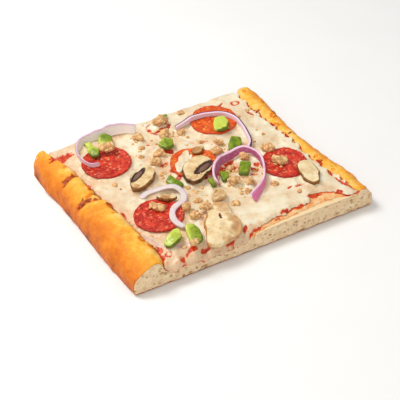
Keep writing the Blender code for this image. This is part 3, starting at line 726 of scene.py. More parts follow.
def bare_sauce(x, y):
    """1 in the middle of the patches of bare sauce, and 0 away from them."""
    worry = 0.3 * rough(joined(x, y), 2.6, 3)
    found = np.zeros_like(x)
    for place, long, wide, turn in SAUCE_SPOTS:
        along, across = along_and_across(x, y, place, turn)
        away = np.hypot(along / long, across / wide)
        found = np.maximum(found, 1 - ease(away + worry, 0.45, 1.25))
    for (px, py), radius in SAUCE_RINGS:
        away = np.abs(np.hypot(x - px, y - py) - radius)
        found = np.maximum(found, 0.8 * (1 - ease(away + worry * 2, 0.3, 1.3)))
    return found


# The skin of the crust: its thickness, how far it stands back from the cuts, and how far
# it leads in behind them. Then its rows, and its points across each rim and between them.
SKIN_THICK = 0.5
CUT_MARGIN = 0.4
RECESS = 2.6
CRUST_ROWS = 200
LEFT_POINTS, DOUGH_POINTS, RIGHT_POINTS = 72, 64, 56


def rim_section(table, section, y, count):
    """Smooth section of a rim from its foot on the dough out to the base: x and z."""
    outer, inner, crown = (float(v) for v in rim_rows(table, y))
    side = 1 if outer > inner else -1
    foot = float(dough_height(inner, y))
    points = [(inner, foot), (inner + side * FOOT_REACH, foot + FOOT_RISE)]
    points += [(inner + (outer - inner) * across, crown * up) for across, up in section]
    return smooth_route(points, count)


def make_crust():
    """The dough with both rims, their creases, pits and blisters."""
    lines = []
    for y in np.linspace(FRONT_CUT + CUT_MARGIN, BACK_CUT - CUT_MARGIN, CRUST_ROWS):
        left = rim_section(LEFT_RIM, LEFT_SECTION, y, LEFT_POINTS)[::-1]
        right = rim_section(RIGHT_RIM, RIGHT_SECTION, y, RIGHT_POINTS)
        xs = np.linspace(left[-1, 0], right[0, 0], DOUGH_POINTS + 2)[1:-1]
        line = np.concatenate([left, joined(xs, dough_height(xs, y)), right])
        lines.append(np.insert(line, 1, y, axis=1))
    top = np.array(lines).transpose(1, 0, 2)
    out = np.cross(np.gradient(top, axis=0), np.gradient(top, axis=1))
    out /= np.linalg.norm(out, axis=2)[..., None]
    index = np.arange(len(top))
    left_share = np.clip(1 - index / (LEFT_POINTS - 1), 0, 1)
    right_share = np.clip((index - LEFT_POINTS - DOUGH_POINTS) / (RIGHT_POINTS - 1), 0, 1)
    share = np.maximum(left_share, right_share)[:, None]
    on_rim = ease(share, 0.0, 0.12) * (1 - ease(share, 0.95, 1.0))
    x, y = top[..., 0], top[..., 1]
    bend, wander, pimple = rough(top, 4, 6), rough(top, 2.2, 8), rough(top, 2.6, 7)
    lift = on_rim * (0.9 * rough(top, 18) + 0.7 * rough(top, 7, 3) + 0.22 * pimple)
    lift = lift + (1 - on_rim) * (share == 0) * 0.25 * rough(top, 5, 9)
    scorch = np.zeros_like(x)
    bake = np.where(x < 0, 0.16 + 0.66 * ease(share, 0.06, 1.0),
                    0.2 + 0.5 * ease(share, 0.1, 0.9))
    bake = bake - 0.1 * bell(share, 0.16) * on_rim
    high = ease(top[..., 2], 12, 18)
    for ends, depth, width, swell in CREASES:
        d, t = segment_distance(x, y, ends)
        d = np.abs(d + 0.6 * bend * (d > 0))
        lift -= depth * bell(d, width) * high
        crease_y = ends[0][1] + (ends[1][1] - ends[0][1]) * t
        ahead = np.clip(crease_y - y, 0, 40)
        lift += swell * bell(d, 8) * on_rim * ease(ahead, 0.3, 2.2) * (0.4 + high) * 0.7
        # Darker along the crease: partly browning, partly painted shade in the crease.
        bake += 0.4 * bell(d, width * 1.3) * high
        # Paler on the swell in front of the crease: a painted highlight.
        bake -= 0.16 * bell(ahead - 5, 4) * bell(d, 9) * high
    for (px, py), radius, depth in PITS:
        d = np.hypot(x - px, (y - py) * 1.5) * (1 + 0.4 * wander)
        lift += depth * (bell(d - radius, 1.1) - bell(d, radius)) * high
        scorch = np.maximum(scorch, (1 - ease(d, radius * 0.5, radius * 1.4)) * high)
    for (px, py), radius, rise in BLISTERS:
        d = np.hypot(x - px, y - py) * (1 + 0.22 * wander)
        lift += rise * bell(d - radius * 0.75, radius * 0.34) * high
        lift -= 0.6 * rise * bell(d, radius * 0.5) * high
        bake += 0.62 * bell(d - radius * 0.9, radius * 0.3) * high
    soaked = (share == 0) * np.ones_like(x)
    pale = 0.3 * (1 - ease(y - FRONT_CUT, 1.5, 7))
    red = bare_sauce(x, y) * on_rim * high
    top = top + out * lift[..., None]
    top[..., 2] = np.maximum(top[..., 2], 0.05)
    base_left = top[0, :, 0] + 0.6
    base_right = top[-1, :, 0] - 0.6
    bottom = top.copy()
    spread = base_left + (base_right - base_left) * np.linspace(0, 1, len(top))[:, None]
    bottom[..., 0] = np.clip(top[..., 0], base_left, base_right) * 0.97 + spread * 0.03
    bottom[..., 2] = 0.0
    top[0, :, 2] = top[-1, :, 2] = 0.5
    # At both cuts the skin turns in and leaves room for the crumb.
    inner = top - out * SKIN_THICK
    floor = bottom + np.array([0, 0, SKIN_THICK * 0.6])
    top, bottom = with_recess(top, inner), with_recess(bottom, floor)
    numbers = {"bake": (bake, 0.85), "scorch": (scorch, 0.0), "red": (red, 0.0),
               "soaked": (soaked, 0.0), "pale": (pale, 0.0)}
    for key, (above, below) in numbers.items():
        above = np.pad(above, ((0, 0), (2, 2)), mode="edge")
        numbers[key] = np.concatenate([above.ravel(), np.full(above.size, below)])
    skin = show("crust_skin", *closed_sheet(top, bottom), SKIN, "crust", ["crust"], numbers)
    return skin, top[:, 2:-2]


def with_recess(rows, inner):
    """Rows of points with two more at each end that lead inwards, behind the cut."""
    near, far = inner[:, :1].copy(), inner[:, -1:].copy()
    deep_near, deep_far = near.copy(), far.copy()
    near[..., 1], far[..., 1] = rows[0, 0, 1], rows[0, -1, 1]
    deep_near[..., 1] = near[..., 1] + RECESS
    deep_far[..., 1] = far[..., 1] - RECESS
    return np.concatenate([deep_near, near, rows, far, deep_far], axis=1)


# The crumb: how far its edge stays inside the skin, how deep its slab is, its points
# across and up the cut, and how many pores it has and of what size, half across.
CRUMB_INSET = 0.55
CRUMB_DEEP = 3.0
CRUMB_ACROSS, CRUMB_UP = 440, 30
PORES = 700
SMALLEST_PORE, BIGGEST_PORE = 0.28, 1.8


def pores(low, high, seed):
    """Random bubbles in the crumb: x, z, half width and half height."""
    draw = random.Random(seed)
    for _ in range(PORES):
        size = SMALLEST_PORE + (BIGGEST_PORE - SMALLEST_PORE) * draw.random() ** 5
        yield draw.uniform(low, high), draw.uniform(0.5, 22), size * 1.3, size


def make_crumb(name, section, cut, side, seed):
    """The crumb at a cut, a thin slab whose face has open pores, looking to one side."""
    peak = int(np.argmin(section[:, 0]))
    far = int(np.argmax(section[:, 0]))
    base = [(section[0, 0], 0.35), (section[-1, 0], 0.35)]
    low = np.concatenate([section[:peak + 1][::-1], base, section[far:][::-1]])
    high = section[peak:far + 1]
    xs = np.linspace(section[peak, 0] + CRUMB_INSET, section[far, 0] - CRUMB_INSET,
                     CRUMB_ACROSS)
    z_low = np.interp(xs, *low.T) + CRUMB_INSET * 0.6
    z_high = np.interp(xs, *high.T) - CRUMB_INSET
    z_high = np.maximum(z_high, z_low + 0.05)
    x = np.repeat(xs[:, None], CRUMB_UP, 1)
    z = z_low[:, None] + (z_high - z_low)[:, None] * np.linspace(0, 1, CRUMB_UP)
    edge = np.minimum(np.minimum(z - z_low[:, None], z_high[:, None] - z),
                      np.minimum(x - xs[0], xs[-1] - x) + 0.2)
    plane = joined(x, np.zeros_like(x), z)
    depth = 0.35 * rough(plane, 9, seed) + 0.2 * rough(plane, 2.6, seed + 5)
    depth += 0.5 * (1 - ease(edge, 0, 1.2))
    # How deep in a pore each point lies, for the painted shade in its hollow.
    pore = np.zeros_like(x)
    for px, pz, wide, tall in pores(xs[0], xs[-1], seed):
        near = np.abs(xs - px) < wide * 1.4
        d = np.hypot((x[near] - px) / wide, (z[near] - pz) / tall)
        hollow = np.clip(1 - d * d, 0, 1)
        depth[near] += hollow * tall * 0.6
        pore[near] = np.maximum(pore[near], hollow * min(tall * 1.1, 1.0))
    face = joined(x, cut + side * (CRUMB_INSET - depth), z)
    inner = joined(x, np.full_like(x, cut - side * CRUMB_DEEP), z)
    rind = np.exp(-(z - z_low[:, None]) / 1.2) + 0.35 * np.exp(-(z_high[:, None] - z) / 0.6)
    face, inner, pore, rind = (grid[::-side] for grid in (face, inner, pore, rind))
    show_sheet(name, face, inner, CRUMB, "crust", (), {"pore": pore, "rind": rind})


crust, crust_top = make_crust()
crust_tree = tree_of(crust)
make_crumb("crumb_front", crust_top[:, 0][:, [0, 2]], FRONT_CUT, -1, 3)
make_crumb("crumb_back", crust_top[:, -1][:, [0, 2]], BACK_CUT, 1, 11)

# Sauce and cheese


def layer_grid(edge, across, along, ragged, up_rim):
    """Places in plan of a layer with ragged sides: x, y and distance from its edge."""
    u = np.linspace(0, 1, across)[:, None]
    v = np.linspace(0, 1, along)[None, :]
    y = FRONT_CUT + (BACK_CUT - FRONT_CUT) * v + 0 * u
    wander = joined(y[0], np.zeros(along))
    sides = [up_rim - ragged * (rough(wander, 6, shift) + 0.6 * rough(wander, 2.2, shift + 3))
             for shift in (2, 8)]
    left = rim_rows(LEFT_RIM, y)[1] - sides[0]
    right = rim_rows(RIGHT_RIM, y)[1] + sides[1]
    x = left + (right - left) * u
    front = np.interp(x, *edge.T)
    wander = joined(x[:, 0], np.zeros(across))
    front = front + (ragged * 0.7 * (rough(wander, 4, 5) + 0.6 * rough(wander, 1.8, 9)))[:, None]
    front = np.maximum(front, FRONT_CUT - 1)
    y = front + (BACK_CUT - 0.2 - front) * v
    free = np.minimum(np.minimum(x - left, right - x), y - front)
    return x, y, free


def crust_height(x, y):
    """Height of the baked crust under a grid of places, kept level past the cuts."""
    met = heights(crust_tree, x, np.clip(y, FRONT_CUT + 0.8, BACK_CUT - 0.8))
    return np.where(np.isnan(met), dough_height(x, y), met)


def make_sauce():
    """The thin sauce, soaked into the dough in front of the cheese."""
    x, y, free = layer_grid(SAUCE_EDGE, 190, 130, 0.9, 1.6)
    plan = joined(x, y)
    low = crust_height(x, y) + LAYER_GAP * 0.4
    past_cheese = np.interp(x, *CHEESE_EDGE.T) - y
    bare = ease(past_cheese + 2.4 * rough(plan, 7, 6), -0.4, 2.4) * (1 - bare_sauce(x, y))
    thick = SAUCE_THICK * (0.9 + 0.35 * rough(plan, 3.5, 4)) * ease(free, -0.2, 2.5)
    thick = thick * (1 - 0.75 * bare) + 0.05
    show_sheet("sauce_layer", joined(x, y, low + thick), joined(x, y, low - 0.3), SAUCE,
               "sauce", ["sauce"], {"bare": bare})


toppings = [node for name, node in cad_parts.items()
            if name.split("_")[0] in ("pepperoni", "mushroom", "pepper", "sausage", "onion")]
toppings_tree = tree_of(*toppings)


def blurred(grid, times):
    """A grid of numbers, each made the mean of itself and its neighbours."""
    for _ in range(times):
        padded = np.pad(grid, 1, mode="edge")
        grid = sum(padded[i:i + grid.shape[0], j:j + grid.shape[1]]
                   for i in range(3) for j in range(3)) / 9
    return grid


def make_cheese():
    """The melted cheese, which rises to meet all that lies on it."""
    x, y, free = layer_grid(CHEESE_EDGE, 210, 180, 1.3, 0.4)
    plan = joined(x, y)
    low = crust_height(x, y) + LAYER_GAP + SAUCE_THICK
    wave = 0.5 * np.sin(0.13 * x + 0.6) * np.sin(0.11 * y + 0.4)
    pool = np.exp(-(((x - 28) / 24) ** 2 + ((y + 66) / 14) ** 2) ** 2)
    lumps = 0.6 * rough(plan, 12, 1) + 0.28 * rough(plan, 5.5, 4) + 0.07 * rough(plan, 2.4, 6)
    thin = ease(rough(plan, 20, 12) + 0.5 * rough(plan, 7, 3), 0.0, 0.9) * (1 - pool)
    red = bare_sauce(x, y)
    thick = CHEESE_THICK + wave + lumps * (1 - 0.7 * pool) - 0.9 * thin - 1.3 * red
    under = heights(toppings_tree, x, y, False)
    lift = np.nan_to_num(np.clip(under + 0.5 - low - thick, -1.2, 2.2))
    lift = np.maximum(blurred(lift, 2), np.where(lift > 0, lift * 0.9, -9))
    lift = blurred(lift, 1)
    high = low + np.maximum(thick + lift, 0.3) * (0.12 + 0.88 * rounded(free / 1.8))
    near_cut = (1 - ease(y - FRONT_CUT, 2, 12)) * (x < 0)
    show_through = (0.75 * thin + 0.3 * (1 - ease(free, 0.5, 6)) + 0.6 * near_cut
                    + 0.55 * ease(-x, 5, 60) - 0.25 * ease(x, 10, 70) - 0.3 * pool)
    arc = smooth_route(SUNK_ONION, 40)
    away = np.min([np.hypot(x - px, y - py) for px, py in arc], axis=0)
    numbers = {"thin": show_through, "lilac": 1 - ease(away, 0.3, 1.3),
               "red": red + 0.3 * near_cut * ease(rough(plan, 6, 5), -0.1, 0.6)}
    top, bottom, numbers = with_curtain(joined(x, y, high), joined(x, y, low - 0.25), numbers)
    return show_sheet("cheese_layer", top, bottom, CHEESE, "cheese", ["cheese"], numbers)


# A thread of onion that has sunk into the cheese.
SUNK_ONION = [(-86, -56), (-83, -61), (-80, -71), (-76, -77), (-68, -81), (-59, -82)]
# How far the topping hangs over the front cut: x and depth.
HANGING = np.array([(-90, 0), (-84, 1.2), (-80.5, 2.4), (-78.5, 6.4), (-76.5, 3.6),
                    (-73, 4), (-68, 2.5), (-60, 2.2),
                    (-52, 3.5), (-44, 2.6), (-34, 3.4), (-24, 2.2), (-14, 2.8), (-6, 0), (120, 0)])
CURTAIN_ROWS = 7
# How much its lower edge has of each number of the cheese, more than above.
HANGING_MORE = {"thin": 0.6, "red": 0.5, "lilac": 0.0}


def with_curtain(top, bottom, numbers):
    """The layer with rows in front that hang down over the cut."""
    x = top[:, 0, 0]
    line = joined(x, np.zeros_like(x))
    hang = np.interp(x, *HANGING.T)
    hang = hang * (1 + 0.4 * rough(line, 4, 2) + 0.45 * rough(line, 1.6, 4))
    rows = []
    for k in range(CURTAIN_ROWS, 0, -1):
        down = k / CURTAIN_ROWS
        bulge = 0.45 * math.sqrt(max(1 - (2 * down - 1) ** 2, 0)) * ease(hang, 0, 2)
        sheet = 0.9 * (1 - 0.7 * down ** 3)
        for layer, out, low in ((top, sheet, 0.2), (bottom, 0.0, 0.0)):
            row = layer[:, 0].copy()
            wrinkle = 0.35 * rough(line + [0, 7 * down], 2.4, 7)
            row[:, 1] -= (bulge * 0.6 + out + wrinkle) * ease(hang, 0, 1)
            row[:, 2] -= hang * down + low * ease(hang, 0, 1)
            rows.append(row)
    top = np.concatenate([np.stack(rows[0::2], axis=1), top], axis=1)
    bottom = np.concatenate([np.stack(rows[1::2], axis=1), bottom], axis=1)
    wider = {}
    for key, value in numbers.items():
        more = HANGING_MORE[key] * ease(hang, 0.6, 2.5)[:, None] * np.linspace(1, 0, CURTAIN_ROWS)
        wider[key] = np.concatenate([value[:, :1] + more, value], axis=1)
    return top, bottom, wider


make_sauce()
cheese = make_cheese()

# Slices


def reach_of(tree, centre, sides, far=40.0, step=0.25):
    """How far a solid reaches from a centre, for angles all the way round."""
    reach = []
    for side in range(sides):
        angle = 2 * math.pi * side / sides
        r = far
        while r > 1 and height_at(tree, centre[0] + r * math.cos(angle),
                                  centre[1] + r * math.sin(angle)) is None:
            r -= step
        reach.append(r)
    return np.array(reach)


def softened(values, times):
    """Numbers round a ring, each drawn towards its neighbours."""
    for _ in range(times):
        values = (np.roll(values, 1) + values * 2 + np.roll(values, -1)) / 4
    return values


def slice_grid(node, rings, sides, soften, blur, inner=0.9):
    """Plan and middle height of a slice that fills its solid: x, y, mid, share, reach."""
    low, high = (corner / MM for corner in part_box(node))
    middle = ((low.x + high.x) / 2, (low.y + high.y) / 2)
    tree = tree_of(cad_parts[node])
    reach = softened(reach_of(tree, middle, sides), soften)
    share = (np.linspace(0, 1, rings) ** 0.8)[:, None] + np.zeros(sides)
    angles = 2 * math.pi * np.arange(sides) / sides
    across, along = share * reach * np.cos(angles), share * reach * np.sin(angles)
    probe = middle[0] + across * inner, middle[1] + along * inner
    mid = (heights(tree, *probe) + heights(tree, *probe, False)) / 2
    mid[0] = np.nan_to_num(mid[0])
    for ring in range(1, rings):
        missed = np.isnan(mid[ring])
        mid[ring, missed] = mid[ring - 1, missed]
    return middle[0] + across, middle[1] + along, disc_blur(mid, blur), share, reach


def disc_blur(mid, times):
    """Heights on the rings of a slice, each drawn towards its neighbours."""
    for _ in range(times):
        around = (np.roll(mid, 1, 1) + mid + np.roll(mid, -1, 1)) / 3
        around[1:-1] = (around[:-2] + around[1:-1] * 2 + around[2:]) / 4
        around[0] = around[0].mean()
        mid = around
    return mid


def edge_profile(share, reach, edge):
    """1 in the middle of a slice, rounding down to 0 over its last millimetres."""
    return rounded((1 - share) * reach / edge)


def turned_away(x, y, toward):
    """Degrees between a compass angle and each point, from the middle of its slice."""
    angles = np.degrees(np.arctan2(y - y[0, 0], x - x[0, 0]))
    return np.abs((angles - toward + 180) % 360 - 180)


def make_pepperoni(node, finish, seed):
    """A slice of pepperoni with an uneven edge that cups up a little."""
    sides = 96
    x, y, mid, share, reach = slice_grid(node, 32, sides, 3, 3)
    turn = np.arange(sides) * 2 * math.pi / sides
    ring = joined(4 * np.cos(turn), 4 * np.sin(turn) + seed)
    uneven = 0.98 + 0.02 * rough(ring, 1.6) + 0.01 * rough(ring, 0.5)
    x, y = x[0] + (x - x[0]) * uneven, y[0] + (y - y[0]) * uneven
    plan = joined(x, y)
    profile = edge_profile(share, reach, 1.1)
    cup = 0.5 * ease(share, 0.72, 0.98) ** 2 + 0.4 * rough(plan, 9, seed)
    bumps = 0.42 * rough(plan, 3.2, seed + 3) + 0.2 * rough(plan, 1.5, seed + 6)
    mid = mid + cup * ease(share, 0, 0.3)
    return show_slice(node.replace("pepperoni", "pepperoni_slice"), x, y,
                      mid + (0.9 + bumps) * profile, mid - 0.95 * profile,
                      finish, "pepperoni", [node], {"out": share})


pepperoni = [make_pepperoni("pepperoni_%d" % number, finish, 10.0 * number) for number, finish
             in enumerate((RED_MEAT, RED_MEAT, ORANGE_MEAT, ORANGE_MEAT, RED_MEAT), 1)]

# Mushroom slices: solid, thickness, gills, skin, how light its skin is, and marks.
# Gills are an oval: middle, half length, half width and turn. Skin is thick towards a
# compass angle, over half an angle, and so wide.
MUSHROOMS = [
    ("mushroom_oval", 4.2, (-52.0, 16.5, 13, 3.9, 33), (-75, 80, 1.0), 0.25, "oval"),
    ("mushroom_round", 3.8, (1.0, -5.4, 14.6, 4.8, 23), (-125, 75, 0.9), 0.0, "round"),
    ("mushroom_right", 3.2, None, (-60, 120, 0.8), 0.3, "right"),
    ("mushroom_front", 3.8, None, (160, 72, 1.0), 1.0, "front"),
    ("mushroom_sliver", 2.8, None, (80, 70, 0.8), 0.3, "sliver"),
    ("mushroom_stalk", 4.4, None, (200, 60, 0.3), 1.0, "stalk"),
    ("mushroom_edge", 2.4, None, (90, 70, 0.8), 0.5, "edge"),
]
# Marks on the slices: place, radius, rise, how warm and how stained. Warmth browns the
# flesh, and on the right side and bottom of the front slice it is painted shade as well.
MARKS = {
    "oval": [((-61, 3), 5, 0, 0.8, 0), ((-44, 8), 4, 0, 0.4, 0)],
    "round": [((-16, -14), 5, 0, 0.5, 0.3), ((5, 12), 5, 0, 0.4, 0)],
    "right": [((82, -68), 6, 0, 0.4, 0), ((72, -52), 4, -0.4, 0.3, 0)],
    # The front slice: a raised curl, then three dented marks darkened along the slit beside it.
    "front": [((-16, -70.5), 4.8, 1.6, 0.6, 0), ((-21.9, -70.5), 1.5, -2.0, 0.5, 1.8),
              ((-21.3, -68), 1.5, -2.0, 0.5, 1.8), ((-20.4, -65.8), 1.3, -1.4, 0.5, 1.4),
              # Warm marks on the right side and bottom of this slice: browning and painted shade.
              ((-14.5, -78), 8, 0.6, 0.75, 0.1), ((-13, -61), 10, 0, 0.55, 0),
              ((-14, -88), 13, -0.3, 0.8, 0.1), ((-21, -90), 8, -0.4, 0.6, 0),
              ((-27, -99), 11, 0, 0.7, 0.1), ((-21, -95), 3, 0, 0.9, 0.2),
              ((-33, -92), 2.2, 0.2, 0.7, 0.42),
              ((-39, -80), 5, 0, 0.4, 0),
              ((-12, -54), 11, 0.5, 0.7, 0), ((-8, -60), 7, 0.3, 0.6, 0),
              ((-30, -82), 1.2, -0.3, 0.9, 0.5), ((-25, -78), 5, -0.4, 0.4, 0)],
    "sliver": [((-50, -26), 7, 0.6, 1.0, 0), ((-44, -22), 4, 0, 0.6, 0)],
    "stalk": [((-8, -42), 14, 0, 0.45, 0), ((-11, -46), 3, -0.8, 0.8, 0.3),
              ((-5, -38), 2.4, -0.7, 0.7, 0.3)],
    "edge": [((10, 22), 9, 0, 0.9, 0), ((6, 20), 3, 0, 0.5, 0.4)],
}
STALK_NOISE = 1.1
PALE_SLICES = ("front", "right")
THIN_SKIN = ("front", "stalk")


def make_mushroom(node, thick, gills, skin, gold, marks, seed):
    """A slice of mushroom with its gills, skin and marks."""
    x, y, mid, share, reach = slice_grid(node, 36, 140, 1, 4)
    plan = joined(x, y)
    profile = edge_profile(share, reach, 1.3)
    bumps = 0.22 * rough(plan, 8, seed) + 0.06 * rough(plan, 2.2, seed + 2)
    if marks == "stalk":
        along = (y - y.min()) / np.ptp(y)
        x = x[0, 0] + (x - x[0, 0]) * (1.25 - 0.8 * along) + 4 * (along - 0.4)
        bumps = bumps + STALK_NOISE * (0.7 * rough(plan, 3, 4) + 0.5 * rough(plan, 1.4, 6))
    gill = np.full_like(x, -1.0)
    if gills:
        *place, long, wide, turn = gills
        u, v = along_and_across(x, y, place, turn)
        gill = 1 - np.hypot(u / long, v / wide) + 0.04 * rough(plan, 3, 9)
        bumps = bumps - 1.1 * ease(gill, 0.0, 0.3) + 0.6 * ease(gill, 0.4, 0.6)
        bumps = bumps + 0.2 * np.sin(u * 4.2) * ease(gill, 0.05, 0.3)
    toward, half, width = skin
    side = (1 - ease(turned_away(x, y, toward), half * 0.7, half * 1.3)) * width
    rim = ease(share * reach, reach - 2.6, reach - 1.2) * side
    all_round = 0.5 if marks in THIN_SKIN else 0.95
    rim = np.maximum(rim, ease(share * reach, reach - 1.5, reach - 0.5) * all_round)
    warm, stain = np.zeros_like(x), np.zeros_like(x)
    for (wx, wy), radius, rise, warmth_and_shade, dark in MARKS[marks]:
        near = 1 - ease(np.hypot(x - wx, y - wy) * (1 + 0.25 * rough(plan, 3, 2)),
                        radius * 0.35, radius)
        bumps = bumps + rise * near
        warm, stain = np.maximum(warm, warmth_and_shade * near), np.maximum(stain, dark * near)
    numbers = {"gill": gill, "skin": rim, "warm": warm, "stain": stain,
               "gold": np.full_like(x, gold),
               "cream": np.full_like(x, float(marks in PALE_SLICES))}
    return show_slice(node + "_slice", x, y, mid + (thick / 2 + bumps) * profile,
                      mid - thick / 2 * profile, MUSHROOM, "mushroom", [node], numbers)


mushrooms = [make_mushroom(*row, seed * 3.0) for seed, row in enumerate(MUSHROOMS)]

PEPPER_THICK = 3.4
# How pale each piece of green pepper is on top, and which way its dark side looks:
# dark skin with painted shade on the side away from the light, and paler flesh,
# a painted light, on the side towards it.
PEPPERS = {
    "pepper_back_a": (0.35, 20), "pepper_back_b": (0.45, 250), "pepper_back_c": (1.0, 90),
    "pepper_back_d": (0.3, 270), "pepper_middle_a": (0.3, 270), "pepper_middle_b": (0.75, 290),
    "pepper_middle_c": (0.0, 250), "pepper_middle_d": (0.05, 230), "pepper_middle_e": (0.1, 200),
    "pepper_middle_f": (0.1, 250), "pepper_middle_g": (0.1, 260), "pepper_front_a": (0.6, 270),
    "pepper_front_b": (0.4, 320),
}


def make_pepper(node, pale, toward, seed):
    """A curved piece of pepper, its flesh painted paler away from its dark side, a painted light,
    and the dark side partly skin and partly painted shade.
    """
    x, y, mid, share, reach = slice_grid(node, 20, 72, 3, 3, 0.86)
    plan = joined(x, y)
    profile = edge_profile(share, reach, 1.5)
    dome = 0.9 * (1 - share ** 2) - 0.3
    bumps = dome + 0.28 * rough(plan, 5, seed) + 0.08 * rough(plan, 1.6, seed)
    turned = turned_away(x, y, toward)
    side = ease(share * reach, reach - 1.2, reach - 0.3)
    # The dark edge is full on the side that looks away from the light: dark skin and painted
    # shade.
    side = np.maximum(side * 0.45, side * (1 - ease(turned, 50, 100)))
    # A broad painted shade over that side of the face.
    side = np.maximum(side, (1 - ease(turned, 25, 75)) * ease(share, 0.6, 0.88) * 0.85)
    # Paler towards the light: painted light over the piece's own paleness.
    light = pale + 0.35 * ease(turned, 60, 150) * ease(share, 0.2, 0.9)
    show_slice(node.replace("pepper", "pepper_piece"), x, y,
               mid + (PEPPER_THICK / 2 + bumps) * profile, mid - PEPPER_THICK / 2 * profile,
               PEPPER, "pepper", [node], {"side": side, "pale": light})


for seed, (node, (pale, toward)) in enumerate(PEPPERS.items()):
    make_pepper(node, pale, toward, seed * 5.0)

# Cooked sausage

# How many times the chunks are made finer, and how big the grains of meat are.
MEAT_LEVELS = 3
GRAIN_SIZE = 5.4


def make_meat(name, shape, nodes=()):
    """A rough crumb of meat from a coarse closed shape."""
    piece = new_object(name, shape)
    finer = piece.modifiers.new("finer", "SUBSURF")
    finer.levels = finer.render_levels = MEAT_LEVELS
    mesh = keep_result(piece, finer).data
    points = np.array([v.co / MM for v in mesh.vertices])
    normals = np.array([v.normal for v in mesh.vertices])
    grains = np.array([grain_height(point) for point in points])
    push = 1.5 * rough(points, 6.5) + 0.4 * rough(points, 2.0, 5) + 0.7 * grains - 0.2
    mesh.vertices.foreach_set("co", ((points + normals * push[:, None]) * MM).ravel())
    # Painted shade in the creases between the grains.
    keep_numbers(mesh, {"deep": 1 - grains})
    mesh.materials.clear()
    mesh.materials.append(MEAT)
    settle(piece, "sausage", nodes)


def grain_height(point):
    """0 in the creases between grains of minced meat, to 1 on each grain."""
    bent = Vector(point) + noise.noise_vector(Vector(point) / 2.5) * 1.2
    first, second = noise.voronoi(bent / GRAIN_SIZE)[0][:2]
    return float(ease(second - first, 0.0, 0.55))


def merged_copy(node):
    """The mesh of a solid, with each of its corners only once."""
    made = bmesh.new()
    made.from_mesh(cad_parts[node].data)
    bmesh.ops.remove_doubles(made, verts=made.verts, dist=1e-6)
    return mesh_of(made, node)


for node in sorted(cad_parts):
    if node.startswith("sausage"):
        make_meat(node.replace("sausage", "meat"), merged_copy(node), [node])

# Onion strips

# Each strip: solid, wall, leans and heights along it, route and finish.
ONIONS = [
    ("onion_back_left", 1.8, (0.1, 0.25, 0.3, 0.3, 0.2), (4, 4.5, 7, 10, 8.5),
     [(-73, 46.5), (-80.5, 50), (-83.5, 60), (-82.5, 71), (-78, 81), (-71, 87), (-63, 89),
      (-52, 89), (-40, 88.5), (-29, 85.5), (-20, 79)],
     onion_flesh("onion_lilac", (248, 238, 232), (236, 214, 220), (218, 182, 202),
                 (170, 118, 160), 0.86)),
    ("onion_back_right", 3.0, (0.15, 0.1, 0.1, 0.0), (4.2, 4.2, 4, 3.5),
     [(13, 65), (24, 67), (36, 68), (47, 67), (56, 63), (63, 57), (67, 48), (67, 36),
      (64.5, 24), (60, 12), (52, 3)],
     onion_flesh("onion_white_purple", (232, 206, 216), (112, 38, 84),
                 (238, 210, 222), (100, 26, 74), 0.7, 0.5)),
    ("onion_middle", 2.0, (0.5, 0.6, 0.35, -0.2, -0.75), (5.4, 6.8, 5, 5.5, 7),
     [(1.5, -29), (2.5, -22), (5.5, -16), (11.5, -9.5), (19, -3.5), (28, 0.5), (39, 1.5),
      (47, -2), (52, -10), (50.5, -21), (44, -35), (37, -45), (26, -54), (15, -61)],
     onion_flesh("onion_magenta", (176, 82, 122), (228, 120, 164), (242, 204, 220),
                 (222, 150, 190))),
    ("onion_front", 5.4, (0.0, 0.0), (1.3, 1.6, 2.1),
     [(-64, -10), (-56, -6.5), (-47, -7), (-39, -11), (-32.5, -18), (-31.5, -26), (-37, -34),
      (-46, -38), (-52, -43), (-56, -51), (-56, -59), (-53, -65)],
     onion_flesh("onion_white", (212, 190, 194), (200, 174, 186), (226, 210, 204),
                 (208, 184, 194), 0.6, 0.72)),
]
SQUARE_CORNERS = -0.62


class Steps(Nodes):
    """A Geometry Nodes tree with named sizes, which ends in one plain mesh."""

    def __init__(self, name, sizes):
        super().__init__(bpy.data.node_groups.new(name, "GeometryNodeTree"))
        face = self.tree.interface
        face.new_socket("Geometry", in_out="INPUT", socket_type="NodeSocketGeometry")
        face.new_socket("Geometry", in_out="OUTPUT", socket_type="NodeSocketGeometry")
        self.sizes = sizes
        self.keys = {}
        for label in sizes:
            made = face.new_socket(label, in_out="INPUT", socket_type="NodeSocketFloat")
            self.keys[label] = made.identifier
        self.entry = self.tree.nodes.new("NodeGroupInput")
        self.start = Wire(self, self.entry.outputs[0])

    def size(self, label):
        """One of the tree's named sizes."""
        return Wire(self, self.entry.outputs[label])

    def vector(self, x=0.0, y=0.0, z=0.0):
        return self.add("ShaderNodeCombineXYZ", {}, {0: x, 1: y, 2: z})

    def read(self, *keys):
        """Numbers kept on the points, by name."""
        return {key: self.add("GeometryNodeInputNamedAttribute", {"data_type": "FLOAT"},
                              {"Name": key}) for key in keys}

    def keep(self, shape, key, value):
        """The shape with a named number kept on its points."""
        return self.add("GeometryNodeStoreNamedAttribute",
                        {"data_type": "FLOAT", "domain": "POINT"},
                        {"Geometry": shape, "Name": key, "Value": value})

    def end(self, shape, finish):
        shape = self.add("GeometryNodeRealizeInstances", {}, {0: shape})
        shape = self.add("GeometryNodeSetMaterial", {}, {"Geometry": shape, "Material": finish})
        last = self.tree.nodes.new("NodeGroupOutput")
        self.feed(last.inputs[0], shape)

    def run(self, name, start_mesh):
        """A piece that the tree makes from a starting mesh."""
        piece = new_object(name, start_mesh)
        step = piece.modifiers.new("steps", "NODES")
        step.node_group = self.tree
        for label, value in self.sizes.items():
            step[self.keys[label]] = value
        return keep_result(piece, step)


